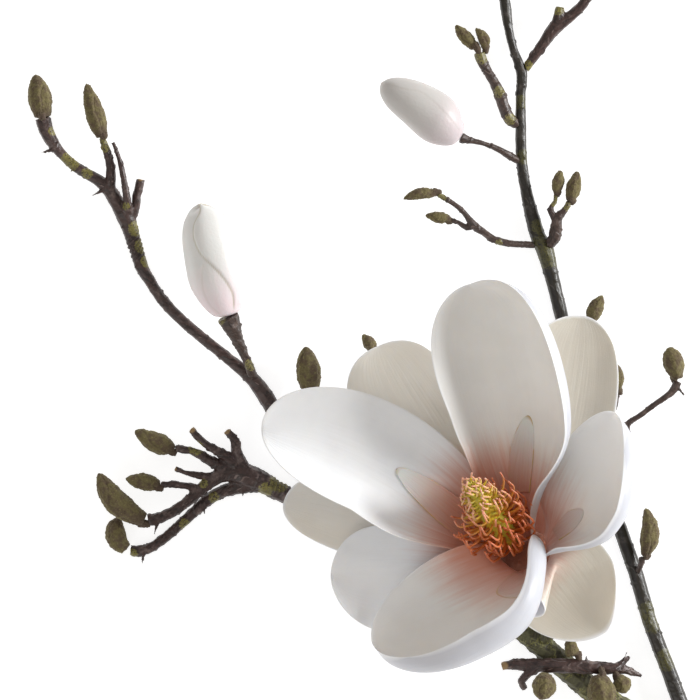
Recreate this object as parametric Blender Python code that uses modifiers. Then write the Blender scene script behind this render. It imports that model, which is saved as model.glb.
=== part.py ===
"""Magnolia spray: one open flower and two white buds on bare, budded twigs.

The cut spray lies flat: +Z is up, +Y runs from the cut end to the tips, and the
origin is under the middle of the spray. Sizes are in millimetres on the plan
below and become metres when a shape is made.
"""
import math

import bmesh
import bpy
from mathutils import Vector

MM = 0.001
PLAN_ORIGIN = Vector((11.1, -5.4, 0.3))   # the plan's point that becomes the origin
TUBE_SIDES = 2                            # bevel resolution of a stem, 8 sides
SPARE_GAP = 0.3                           # clear space between two touching pieces
PETAL_WALL = 0.8
TONGUE_WALL = 0.6

# The open flower: its receptacle, and the axis that its petals stand around.
FLOWER_BASE = Vector((70.0, -83.0, 22.0))
FLOWER_AXIS = Vector((-0.444, 0.533, 0.72)).normalized()
RING_EAST = FLOWER_AXIS.cross(Vector((0.0, 0.0, 1.0))).normalized()
RING_UP = RING_EAST.cross(FLOWER_AXIS)
CONE_RISE = 3.4                           # height of the receptacle's blunt cone
CONE_FOOT = 12.9                          # radius of its rim
CONE_TOP = 4.6
STAMEN_AXIS = Vector((-0.478, 0.615, 0.626)).normalized()
SECTION_STEPS = 12                        # chords in half of a petal's cross-section
WRAP_END = 0.22                           # shares of a petal's length: its claw stops
EVEN_END = 0.6                            # wrapping, its bend starts to change to the
FULL_CURL = 0.35                          # tip's, its rim is fully rolled, and its face
LEAN_END = 0.45                           # has turned to its own side

WHITE = (0.80, 0.79, 0.77)
BARK = (0.06, 0.04, 0.03)
TWIG = (0.09, 0.055, 0.035)
MOSS = (0.13, 0.12, 0.035)
YELLOW = (0.62, 0.40, 0.08)
PETAL_ROUGHNESS = 0.45
BARK_ROUGHNESS = 0.6
DOWN_ROUGHNESS = 0.8


def clear_scene():
    """Remove what the file opened with."""
    for thing in list(bpy.data.objects):
        bpy.data.objects.remove(thing, do_unlink=True)


def new_collection(name):
    """A collection linked to the scene."""
    made = bpy.data.collections.new(name)
    bpy.context.scene.collection.children.link(made)
    return made


def finish(name, colour, roughness):
    """A plain Principled material."""
    made = bpy.data.materials.new(name)
    made.use_nodes = True
    shader = made.node_tree.nodes["Principled BSDF"]
    shader.inputs["Base Color"].default_value = (*colour, 1.0)
    shader.inputs["Roughness"].default_value = roughness
    shader.inputs["Metallic"].default_value = 0.0
    return made


def to_world(point):
    """A point of the plan, in metres."""
    return (Vector(point) - PLAN_ORIGIN) * MM


def smooth_route(points, per_span):
    """Catmull-Rom points (x, y, z, radius) through the route's own points."""
    count = len(points)
    route = []
    for i in range(count - 1):
        before = points[max(i - 1, 0)]
        start, end = points[i], points[i + 1]
        after = points[min(i + 2, count - 1)]
        for step in range(per_span):
            t = step / per_span
            route.append([
                0.5 * (2 * b + (c - a) * t + (2 * a - 5 * b + 4 * c - d) * t * t
                       + (3 * b - a - 3 * c + d) * t ** 3)
                for a, b, c, d in zip(before, start, end, after)
            ])
    route.append(list(points[-1]))
    return route


def tube_object(name, route):
    """A round bar along a route, its radius changing from point to point."""
    data = bpy.data.curves.new(name, "CURVE")
    data.dimensions = "3D"
    data.bevel_depth = MM
    data.bevel_resolution = TUBE_SIDES
    data.render_resolution_u = 0
    data.use_fill_caps = True
    spline = data.splines.new("POLY")
    spline.points.add(len(route) - 1)
    for knot, (x, y, z, radius) in zip(spline.points, route):
        knot.co = (*to_world((x, y, z)), 1.0)
        knot.radius = radius
    return bpy.data.objects.new(name, data)


def place(thing, material, group):
    """Give a piece its material and its place in the collection."""
    thing.data.materials.append(material)
    group.objects.link(thing)
    return thing


def mesh_of_tube(tube, group):
    """A closed mesh of a tube, which a Boolean can join."""
    group.objects.link(tube)
    seen = tube.evaluated_get(bpy.context.evaluated_depsgraph_get())
    mesh = bpy.data.meshes.new_from_object(seen)
    bm = bmesh.new()
    bm.from_mesh(mesh)
    bmesh.ops.remove_doubles(bm, verts=bm.verts, dist=1e-6)
    bmesh.ops.recalc_face_normals(bm, faces=bm.faces)
    bm.to_mesh(mesh)
    bm.free()
    made = bpy.data.objects.new(tube.name, mesh)
    bpy.data.objects.remove(tube, do_unlink=True)
    return made


def stem(name, points, material, group, per_span=2):
    """A single bare stem."""
    return place(tube_object(name, smooth_route(points, per_span)), material, group)


def use_tool(piece, tool, operation, tools):
    """Join or cut a piece with another shape, which stays out of the render."""
    tool.hide_render = True
    tool.display_type = "WIRE"
    tools.objects.link(tool)
    step = piece.modifiers.new(tool.name, "BOOLEAN")
    step.operation = operation
    step.solver = "EXACT"
    step.object = tool


def fork(name, routes, carriers, material, group, tools, per_span=2):
    """Shoots grown together, their foot cut to sit on the stems that carry them."""
    made = [mesh_of_tube(tube_object(name, smooth_route(route, per_span)), tools)
            for route in routes]
    trunk = place(made[0], material, group)
    trunk.name = name
    for number, shoot in enumerate(made[1:]):
        shoot.name = f"{name}_shoot_{number + 1}"
        use_tool(trunk, shoot, "UNION", tools)
    for number, route in enumerate(carriers):
        around = [[*point[:3], point[3] + SPARE_GAP] for point in smooth_route(route, per_span)]
        saddle = mesh_of_tube(tube_object(f"{name}_seat_{number + 1}", around), tools)
        use_tool(trunk, saddle, "DIFFERENCE", tools)
    return trunk


def bud_route(base, tip, radius, foot, widest=0.4, bow=(0.0, 0.0, 0.0), rings=9,
              shoulder=1.0, crown=1.9, point=0.12):
    """A closed bud from base to tip: foot radius, belly and blunt point."""
    base, tip, bow = Vector(base), Vector(tip), Vector(bow)
    route = []
    for step in range(rings):
        t = 0.5 - 0.5 * math.cos(math.pi * step / (rings - 1))
        middle = base.lerp(tip, t) + bow * math.sin(math.pi * t)
        if t < widest:
            rise = math.sin(0.5 * math.pi * t / widest) ** shoulder
            swell = foot + (radius - foot) * rise
        else:
            fall = (t - widest) / (1.0 - widest)
            taper = (1.0 - point) * (1.0 - fall ** crown) ** 0.7
            swell = radius * (taper + point * math.sqrt(1.0 - 0.85 * fall ** 8))
        route.append([*middle, swell])
    return route


def bud(name, spec, material, group):
    """A green or white bud."""
    return place(tube_object(name, bud_route(**spec)), material, group)


class Petal:
    """One petal: a curved centre line, a width and a cupped cross-section."""

    def __init__(self, ring, handle, far_handle, tip, widths, widest, edges, lean,
                 claw=0.28, blunt=2.2, curl=(1.0, 1.0)):
        angle, height, radius = ring
        reach, opening = handle
        side = (math.cos(math.radians(angle)) * RING_EAST
                + math.sin(math.radians(angle)) * RING_UP)
        self.base = FLOWER_BASE + FLOWER_AXIS * height + side * radius
        start = (FLOWER_AXIS + opening * side).normalized()
        self.controls = (self.base, self.base + reach * start,
                         Vector(far_handle), Vector(tip))
        self.widths = widths
        self.widest = widest
        self.claw = claw
        self.blunt = blunt
        self.curl = curl
        self.edges = edges
        self.wrap = [min(width * claw / radius, 1.9) for width in widths]
        self.inward = (FLOWER_AXIS * opening - side).normalized()
        self.lean = Vector(lean).normalized()

    def centre(self, u):
        """Point and direction of the centre line."""
        a, b, c, d = self.controls
        v = 1.0 - u
        point = a * v ** 3 + b * (3 * v * v * u) + c * (3 * v * u * u) + d * u ** 3
        along = (b - a) * (v * v) + (c - b) * (2 * v * u) + (d - c) * (u * u)
        return point, along.normalized()

    def fullness(self, u):
        """Share of the full width: the claw, the widest place, the round tip."""
        if u < self.widest:
            rise = math.sin(0.5 * math.pi * u / self.widest)
            return self.claw + (1.0 - self.claw) * rise
        fall = (u - self.widest) / (1.0 - self.widest)
        return math.sqrt(max(1.0 - fall ** self.blunt, 0.0))

    def bend(self, u, half):
        """Turn of the cross-section from the middle to this half's edge."""
        middle, end = self.edges[half]
        if u < WRAP_END:
            return self.wrap[half] + (middle - self.wrap[half]) * u / WRAP_END
        if u < EVEN_END:
            return middle
        return middle + (end - middle) * (u - EVEN_END) / (1.0 - EVEN_END)

    def section(self, u, reach, half):
        """Way out, rise and turn of the cross-section at a share of the half width."""
        t = min(u / FULL_CURL, 1.0)
        power = 1.0 + (self.curl[half] - 1.0) * t * t * (3.0 - 2.0 * t)
        bend = self.bend(u, half)
        chord = reach / SECTION_STEPS
        out = up = 0.0
        for step in range(SECTION_STEPS):
            turn = bend * ((step + 0.5) * chord) ** power
            out += chord * math.cos(turn)
            up += chord * math.sin(turn)
        return out, up, bend * reach ** power

    def frame(self, u):
        """Point, inner normal and sideways direction at one station."""
        point, along = self.centre(u)
        t = min(u / LEAN_END, 1.0)
        hint = self.inward.lerp(self.lean, t * t * (3.0 - 2.0 * t))
        normal = (hint - along * hint.dot(along)).normalized()
        return point, normal, along.cross(normal)

    def surface(self, u, v, lift=0.0):
        """Point at u along and v across (-1 to 1), lifted off the inner face."""
        point, normal, side = self.frame(u)
        half = 0 if v < 0.0 else 1
        width = self.fullness(u) * self.widths[half]
        out, up, turn = self.section(u, abs(v), half)
        out, up = width * out, width * up
        sign = -1.0 if v < 0.0 else 1.0
        facing = normal * math.cos(turn) - side * (sign * math.sin(turn))
        return point + side * (sign * out) + normal * up + facing * lift


def sheet_object(name, point_at, along, across, wall, material, group):
    """A thin walled sheet: a grid shaped by point_at(u, v), then Solidify."""
    bm = bmesh.new()
    bmesh.ops.create_grid(bm, x_segments=across, y_segments=along, size=1.0)
    for vert in bm.verts:
        u = math.sin(0.25 * math.pi * (vert.co.y + 1.0))
        vert.co = to_world(point_at(u, vert.co.x))
    bmesh.ops.remove_doubles(bm, verts=bm.verts, dist=1e-6)
    mesh = bpy.data.meshes.new(name)
    bm.to_mesh(mesh)
    bm.free()
    mesh.shade_smooth()
    made = place(bpy.data.objects.new(name, mesh), material, group)
    shell = made.modifiers.new("wall", "SOLIDIFY")
    shell.thickness = wall * MM
    shell.offset = 0.0
    return made


def seat_height(radius):
    """Height of a petal's foot over the receptacle's cone at this radius."""
    slope = CONE_RISE / (CONE_FOOT - CONE_TOP)
    return slope * (CONE_FOOT - radius + 0.5 * PETAL_WALL) + SPARE_GAP


def seat(angle, radius):
    """Ring place of a petal that stands on the receptacle."""
    return angle, seat_height(radius), radius


PETALS = {
    "petal_left": Petal(seat(-119, 9.0), (27.4, 0.83), (-1.0, -31.0, 33), (-35.2, -31.6, 34),
                        (28.4, 25.6), 0.56, ((1.42, 0.5), (0.25, 0.5)), (-0.8, 0.45, 1),
                        claw=0.2, blunt=2.1),
    "petal_top": Petal(seat(-50, 6.4), (44.1, 1.57), (58.9, -18.0, 47.4), (47.5, 26.2, 38.0),
                       (25.3, 45.2), 0.65, ((0.88, 0.05), (2.44, 2.39)), (0.48, -1.45, 1),
                       claw=0.24, blunt=2.67, curl=(1.0, 1.5)),
    "petal_right": Petal(seat(18.6, 10.2), (16.8, 1.38), (89.1, -60.4, 30.0),
                         (104.8, -24.6, 34.0), (15.4, 41.0), 0.64,
                         ((0.05, 0.05), (2.28, 2.7)), (-0.65, -0.37, 1), claw=0.18,
                         blunt=2.17, curl=(1.0, 2.0)),
    "petal_front": Petal(seat(88.9, 7.7), (19.2, 1.4), (45.0, -109.4, 32.8), (8.5, -115.7, 35.9),
                         (45.4, 26.3), 0.58, ((2.9, 2.36), (0.88, 0.05)), (-0.47, 0.45, 1),
                         claw=0.21, blunt=2.15, curl=(2.0, 1.0)),
    "petal_back_left": Petal(seat(-98, 11.5), (16, 0.7), (20, -18, 26), (12, 2, 16),
                             (26, 22), 0.6, ((0.5, 0.3), (0.5, 0.3)), (0, 0, 1), claw=0.2),
    "petal_back_right": Petal(seat(-18, 11.5), (14, 1.3), (90, -14, 13), (93, 14, 13),
                              (24, 20), 0.6, ((0.4, 0.3), (0.5, 0.4)), (0, 0, 1), claw=0.2),
    "petal_low_right": Petal(seat(65.7, 11.5), (13.4, 2.06), (83.3, -85.9, 15.7),
                             (101.5, -112.6, 28.3), (19.9, 26.0), 0.45,
                             ((0.22, 0.92), (0.15, 0.4)), (-0.2, 0.0, 1), claw=0.26,
                             blunt=3.21),
    "petal_low_left": Petal(seat(-178, 11.5), (12.2, 1.06), (10.1, -90.9, 17.6),
                            (-7.8, -89.5, 18.1), (22.4, 20.6), 0.69,
                            ((0.05, 1.41), (0.35, 0.05)), (0.07, 0.05, 1), claw=0.19,
                            blunt=1.8),
    "petal_far_left": Petal(seat(-145, 12.8), (14, 1.2), (0, -67, 10), (-27, -62, 10),
                            (14, 20), 0.6, ((0.4, 0.3), (0.3, 0.3)), (0, 0, 1), claw=0.22),
}


def build_petals(group):
    """The nine large petals."""
    for name, petal in PETALS.items():
        sheet_object(name, petal.surface, 13, 9, PETAL_WALL,
                     finish(f"{name}_skin", WHITE, PETAL_ROUGHNESS), group)


TONGUES = {
    # petal it lies on: foot, tip along it, tip across it, foot half-width, lift
    "tongue_left": ("petal_left", 0.16, 0.52, 0.12, 8.0, 1.6),
    "tongue_top": ("petal_top", 0.16, 0.50, 0.26, 8.0, 1.6),
    "tongue_right": ("petal_right", 0.16, 0.50, -0.05, 7.0, 1.6),
    "tongue_front": ("petal_front", 0.18, 0.45, 0.05, 7.0, 2.3),
}


def build_tongues(group):
    """The four small inner petals, each lying along a large one."""
    for name, (carrier, foot, tip, across_tip, half_width, lift) in TONGUES.items():
        petal = PETALS[carrier]

        def point_at(u, v):
            along = foot + (tip - foot) * u
            reach = half_width * math.sqrt(max(1.0 - u ** 1.6, 0.0))
            middle = across_tip * u
            width = petal.fullness(along) * petal.widths[0 if middle < 0.0 else 1]
            return petal.surface(along, middle + v * reach / width, lift)

        sheet_object(name, point_at, 6, 4, TONGUE_WALL,
                     finish(f"{name}_skin", WHITE, PETAL_ROUGHNESS), group)


def turned(name, profile, base, axis, steps, material, group):
    """A turned solid: (radius, height) from the top down, spun on an axis."""
    mesh = bpy.data.meshes.new(name)
    bm = bmesh.new()
    knots = [bm.verts.new((radius * MM, 0.0, height * MM)) for radius, height in profile]
    for one, two in zip(knots, knots[1:]):
        bm.edges.new((one, two))
    bm.to_mesh(mesh)
    bm.free()
    made = place(bpy.data.objects.new(name, mesh), material, group)
    made.location = to_world(base)
    made.rotation_euler = axis.to_track_quat("Z", "Y").to_euler()
    spin = made.modifiers.new("turn", "SCREW")
    spin.steps = steps
    spin.render_steps = steps
    spin.use_merge_vertices = True
    spin.merge_threshold = 1e-6
    return made


RECEPTACLE = ((0.0, 3.4), (4.6, 3.4), (12.9, 0.0), (12.4, -1.4), (9.5, -3.4),
              (6.4, -5.6), (4.4, -8.0), (0.0, -8.0))
STAMENS = ((0.0, 51.0), (1.9, 50.0), (3.8, 46.0), (6.0, 40.0), (8.2, 32.0), (8.6, 24.0),
           (6.6, 16.0), (4.8, 10.0), (4.0, 4.4), (0.0, 4.4))


def build_heart(group):
    """The receptacle and the cone of stamens on it."""
    turned("receptacle", RECEPTACLE, FLOWER_BASE, FLOWER_AXIS, 16,
           finish("receptacle_skin", MOSS, BARK_ROUGHNESS), group)
    turned("stamen_cone", STAMENS, FLOWER_BASE, STAMEN_AXIS, 14,
           finish("stamen_skin", YELLOW, PETAL_ROUGHNESS), group)


# Stems: x, y, z and radius along each route, in millimetres.
MAIN_STEM = (
    (149, -180, 4.0, 3.6), (142, -163, 4.2, 3.6), (136, -149, 4.0, 3.4),
    (129, -130, 3.8, 3.2), (121.3, -110, 3.6, 3.1), (115.6, -90, 3.4, 3.1),
    (108.5, -70, 3.2, 2.9), (99, -38, 3.2, 2.9), (91, -8, 3.2, 2.9),
    (86, 12, 3.4, 2.9), (81.6, 30, 3.6, 3.0), (79, 40, 4.2, 3.7), (76, 46, 4.2, 3.2),
    (74, 53, 4.2, 3.1), (71.5, 63, 4.2, 2.5), (69.4, 76, 4.6, 2.4),
    (69, 92, 5.2, 2.3), (69, 104, 5.6, 2.1), (69.4, 112, 5.8, 2.4),
    (66.2, 121, 6.2, 1.8), (64, 130, 6.4, 1.9), (62.8, 139, 6.6, 2.4),
    (61.6, 147, 6.6, 1.8), (60.4, 155, 6.6, 1.6),
)
TOP_BRANCH = (
    (69.4, 111.4, 5.8, 1.7), (75, 119.5, 6.8, 2.1), (79, 125, 7.2, 2.4),
    (82.6, 130, 7.6, 2.9), (88, 134, 8.0, 2.4), (92.5, 137.8, 8.4, 2.2),
    (96, 142.5, 8.8, 2.0), (99.5, 149, 9.2, 1.6),
)
TOP_STUB = ((82.6, 130, 7.6, 2.2), (84, 134, 8.4, 2.3), (84.7, 138.4, 8.8, 2.0))
UPPER_SPUR = (
    (69, 90.6, 5.2, 2.0), (64.6, 93, 7.2, 2.6), (62, 98, 8.4, 2.5),
    (60.5, 103, 9.0, 2.6), (58, 108, 9.4, 2.1), (55, 113, 9.8, 2.1),
    (52.9, 117, 10.2, 2.4), (52.2, 119.8, 10.4, 2.5),
)
WHITE_TWIG = (
    (69.2, 76, 4.8, 1.6), (64.6, 78.2, 8.0, 1.7), (61.5, 80, 9.6, 1.4),
    (57, 82, 11.4, 1.1), (52, 83.5, 12.8, 1.1), (48, 84.3, 13.6, 1.5),
    (44.4, 85.3, 14.2, 2.4),
)
WEST_TWIG = (
    (78, 42.4, 4.4, 1.5), (70, 42.6, 6.0, 1.4), (64, 43, 7.4, 1.5),
    (58, 44.6, 8.0, 1.6), (54, 47.4, 8.4, 1.5), (50, 50.2, 8.8, 1.8),
    (47, 54, 9.6, 1.2), (44, 57.2, 10.2, 1.1), (40, 60, 10.8, 1.1), (35.4, 62.6, 11.4, 1.1),
)
WEST_STALK = ((50, 50.2, 8.8, 1.3), (47, 49.4, 8.6, 1.4), (43.6, 51.4, 8.6, 0.9),
              (40.9, 52.6, 8.8, 1.0))
EAST_TWIG = (
    (79.2, 41.6, 5.0, 2.3), (82.6, 45.4, 7.4, 2.6), (83.2, 50, 8.8, 2.4),
    (83.8, 53.6, 9.4, 2.0), (86.4, 56.2, 10.0, 1.4), (88.3, 59.6, 10.6, 1.2),
)
EAST_STALK = ((83.4, 51.4, 9.0, 1.6), (80.6, 56.6, 9.8, 1.3), (82.6, 59.6, 10.2, 0.9),
              (82.8, 62.4, 10.4, 0.9))
RIGHT_TWIG = (
    (101, -45, 3.6, 1.5), (106.4, -38, 6.4, 1.4), (111, -30.5, 8.0, 1.3),
    (116, -27, 9.0, 1.2), (122, -22.5, 9.8, 1.2), (127, -19, 10.4, 1.3),
    (130.4, -16, 10.8, 1.7), (131.8, -12.8, 11.0, 1.8),
)
FLOWER_BRANCH = (
    (141.6, -163, 4.4, 3.2), (130, -156.6, 5.2, 4.4), (115, -147.6, 5.6, 4.8),
    (100, -139, 5.8, 5.0), (88, -129, 5.8, 5.1), (74, -116.6, 5.6, 4.8),
    (58, -104, 5.0, 4.4), (38, -91.5, 4.6, 4.1), (16, -79, 4.4, 3.9), (0.4, -70.4, 4.2, 3.7),
)
FLOWER_STALK = (
    (77, -119, 6.6, 3.1), (81, -112, 11.4, 3.0), (82.4, -104, 13.2, 3.0),
    (79.4, -96, 14.6, 3.2), (75.2, -89.5, 16.0, 3.6),
)
LEFT_BRANCH = (
    (-0.9, -69.7, 4.2, 3.0), (-6, -63.6, 4.4, 3.4), (-13, -52.4, 4.6, 3.2), (-22, -37.6, 4.8, 3.1),
    (-32.4, -21.6, 5.0, 3.4), (-37, -14.6, 5.0, 3.3), (-41, -10.2, 5.0, 2.8),
    (-51.3, -1.8, 4.6, 2.4), (-66.4, 10.5, 4.0, 2.35), (-76, 20.4, 3.6, 2.35),
    (-81, 28, 3.4, 2.4), (-84.2, 33.4, 3.4, 2.8), (-86, 39, 3.4, 2.9),
    (-87.5, 44, 3.6, 3.0), (-89, 49, 3.8, 3.4), (-90.8, 54, 4.2, 3.7),
    (-94, 59.4, 4.8, 3.2), (-97.2, 64.4, 5.4, 2.9), (-102, 68.8, 5.8, 2.5),
    (-110, 73.4, 6.2, 2.2), (-115.6, 78.2, 6.4, 2.1), (-119.6, 83, 6.6, 2.5),
    (-122.6, 88.6, 6.8, 3.1), (-124, 93.6, 6.8, 3.2),
)
TIP_SHOOT_B = (
    (-96.4, 63, 5.6, 1.8), (-96.6, 68.6, 7.2, 2.2), (-96.6, 74, 8.2, 1.9),
    (-98, 80, 9.0, 1.8), (-100, 85.6, 9.4, 1.3),
)
TIP_STUB_C = (
    (-88.6, 52, 4.0, 1.4), (-89.6, 58.4, 7.4, 1.7), (-90.4, 64, 9.0, 1.5),
    (-91.4, 70, 10.0, 1.3), (-92.8, 76.6, 10.6, 1.1), (-95.4, 83.6, 11.0, 0.8),
)
TIP_STUB_D = ((-89.6, 51, 3.8, 1.6), (-87, 56, 4.6, 1.8), (-86.2, 62.4, 4.8, 1.9),
              (-84.6, 69, 4.8, 1.8))
BUD_STALK_LEFT = (
    (-38.6, -12.4, 5.4, 2.1), (-41, -5.4, 11.2, 1.9), (-43.6, 0.6, 13.6, 2.0),
    (-46, 6, 15.2, 2.9), (-48.0, 11, 16.3, 4.2), (-49, 13.4, 16.9, 4.6),
)
LEFT_FAN = (
    (-5, -65, 4.3, 3.0), (-15, -63.6, 4.2, 3.5), (-24, -59.5, 4.4, 3.7),
    (-31, -56, 4.6, 4.0), (-36, -53, 5.0, 4.4), (-42, -50.6, 5.6, 4.9),
    (-48, -49.4, 6.2, 4.0), (-54, -51.4, 7.2, 3.0), (-60, -56.2, 8.4, 2.5),
    (-68, -63, 9.2, 2.2), (-76, -67.4, 9.6, 2.3), (-81.4, -68.6, 9.8, 2.5),
)
FAN_LOW = (
    (-36, -55, 4.6, 2.6), (-46, -55.6, 4.2, 2.8), (-54, -58.4, 3.6, 2.6),
    (-60.4, -63, 3.2, 2.4), (-67, -69, 2.8, 2.2), (-75, -76, 2.6, 2.1),
    (-82, -80.8, 2.6, 2.2), (-88.6, -81.4, 2.8, 2.3),
)
FAN_WEST = (
    (-46, -49.6, 6.4, 2.8), (-54, -46, 8.4, 2.4), (-58.6, -43.2, 9.4, 2.0),
    (-64, -40.6, 10.0, 1.7), (-70.4, -39.8, 10.4, 1.5),
)
FAN_STUB_A = (
    (-44, -49, 6.4, 2.6), (-49.6, -43, 9.6, 2.3), (-56.4, -39, 11.2, 1.8),
    (-60.4, -35.8, 12.0, 1.5), (-63.8, -31.8, 12.4, 1.5),
)
FAN_STUB_B = ((-42, -49, 6.0, 2.6), (-45.6, -42, 8.4, 2.4), (-46.2, -36.6, 9.6, 1.9),
              (-49.8, -32.6, 10.2, 1.5))
FAN_STUB_C = ((-54, -51, 7.2, 1.8), (-60.6, -50.6, 9.8, 1.5), (-66, -49.4, 11.0, 1.1),
              (-70.4, -47.7, 11.6, 1.1))
FAN_SIDE = ((-60, -56.2, 8.2, 1.9), (-65, -55, 10.2, 1.6), (-70, -54.1, 11.2, 1.5),
            (-76, -54.1, 11.6, 1.4))
BOTTOM_FAN = (
    (61.4, -127.6, 7.6, 1.7), (66, -126.8, 8.6, 2.3), (72, -126.8, 10.0, 2.6),
    (80, -127, 12.6, 3.0), (88, -127, 13.6, 3.1), (96, -127.5, 13.2, 2.8),
    (104, -128, 12.6, 2.5), (109.4, -128.4, 11.2, 2.2), (113.6, -129.8, 10.0, 1.4),
    (117.6, -131.4, 9.2, 0.7),
)
BOTTOM_THORN = ((106, -128, 12.0, 1.8), (109.6, -125.8, 11.4, 1.3), (112.6, -123.4, 11.0, 0.6))
BOTTOM_STUB = ((76, -127, 12.2, 2.0), (72, -130, 11.0, 1.8), (69, -133.6, 9.6, 1.7),
               (70.6, -136.6, 8.4, 1.4))
# Short stalks that carry one bud each.
STALK_LOW_MAIN = ((115.8, -91, 3.6, 1.4), (117.2, -87, 8.6, 1.1), (118.2, -83.4, 9.4, 1.2))
STALK_RIGHT = ((98, -36, 3.4, 1.1), (104.6, -28, 7.2, 0.9), (107.4, -21.6, 8.2, 0.9),
                    (107.6, -17.4, 8.8, 1.0))
STALK_TOP_RIGHT = ((88.2, 0.6, 3.6, 1.3), (93, 6.6, 7.0, 1.1), (96.6, 11.8, 7.8, 1.2))
STALK_LEFT = ((-19, -42.6, 4.8, 1.6), (-16.6, -32, 7.4, 1.4), (-16, -17.6, 7.4, 1.6))
STALK_BACK = ((7, -74.4, 4.4, 1.5), (2, -50, 5.4, 1.3), (8, -24, 5.2, 1.2),
                   (10.6, -8, 5.2, 1.1), (10, -0.9, 5.2, 1.2))
SHOOTS = (
    # piece, the shoots grown together in it, the stems that it sits on, its bark
    ("top_branch", (TOP_BRANCH, TOP_STUB), (MAIN_STEM,), BARK),
    ("upper_spur", (UPPER_SPUR,), (MAIN_STEM,), BARK),
    ("white_bud_twig", (WHITE_TWIG,), (MAIN_STEM,), TWIG),
    ("west_twig", (WEST_TWIG, WEST_STALK), (MAIN_STEM,), TWIG),
    ("east_twig", (EAST_TWIG, EAST_STALK), (MAIN_STEM,), TWIG),
    ("right_twig", (RIGHT_TWIG,), (MAIN_STEM,), TWIG),
    ("flower_branch", (FLOWER_BRANCH,), (MAIN_STEM,), BARK),
    ("flower_stalk", (FLOWER_STALK,), (FLOWER_BRANCH,), BARK),
    ("left_branch", (LEFT_BRANCH, TIP_SHOOT_B, TIP_STUB_C, TIP_STUB_D), (FLOWER_BRANCH,),
     BARK),
    ("left_fan", (LEFT_FAN, FAN_LOW, FAN_WEST, FAN_STUB_A, FAN_STUB_B, FAN_STUB_C, FAN_SIDE),
     (LEFT_BRANCH, FLOWER_BRANCH), BARK),
    ("white_bud_stalk", (BUD_STALK_LEFT,), (LEFT_BRANCH,), TWIG),
    ("bottom_fan", (BOTTOM_FAN, BOTTOM_THORN, BOTTOM_STUB), (FLOWER_BRANCH,), BARK),
    ("stalk_low_main", (STALK_LOW_MAIN,), (MAIN_STEM,), TWIG),
    ("stalk_right", (STALK_RIGHT,), (MAIN_STEM,), TWIG),
    ("stalk_top_right", (STALK_TOP_RIGHT,), (MAIN_STEM,), TWIG),
    ("stalk_left", (STALK_LEFT,), (LEFT_BRANCH,), TWIG),
    ("stalk_back", (STALK_BACK,), (FLOWER_BRANCH, LEFT_BRANCH), TWIG),
)
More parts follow.
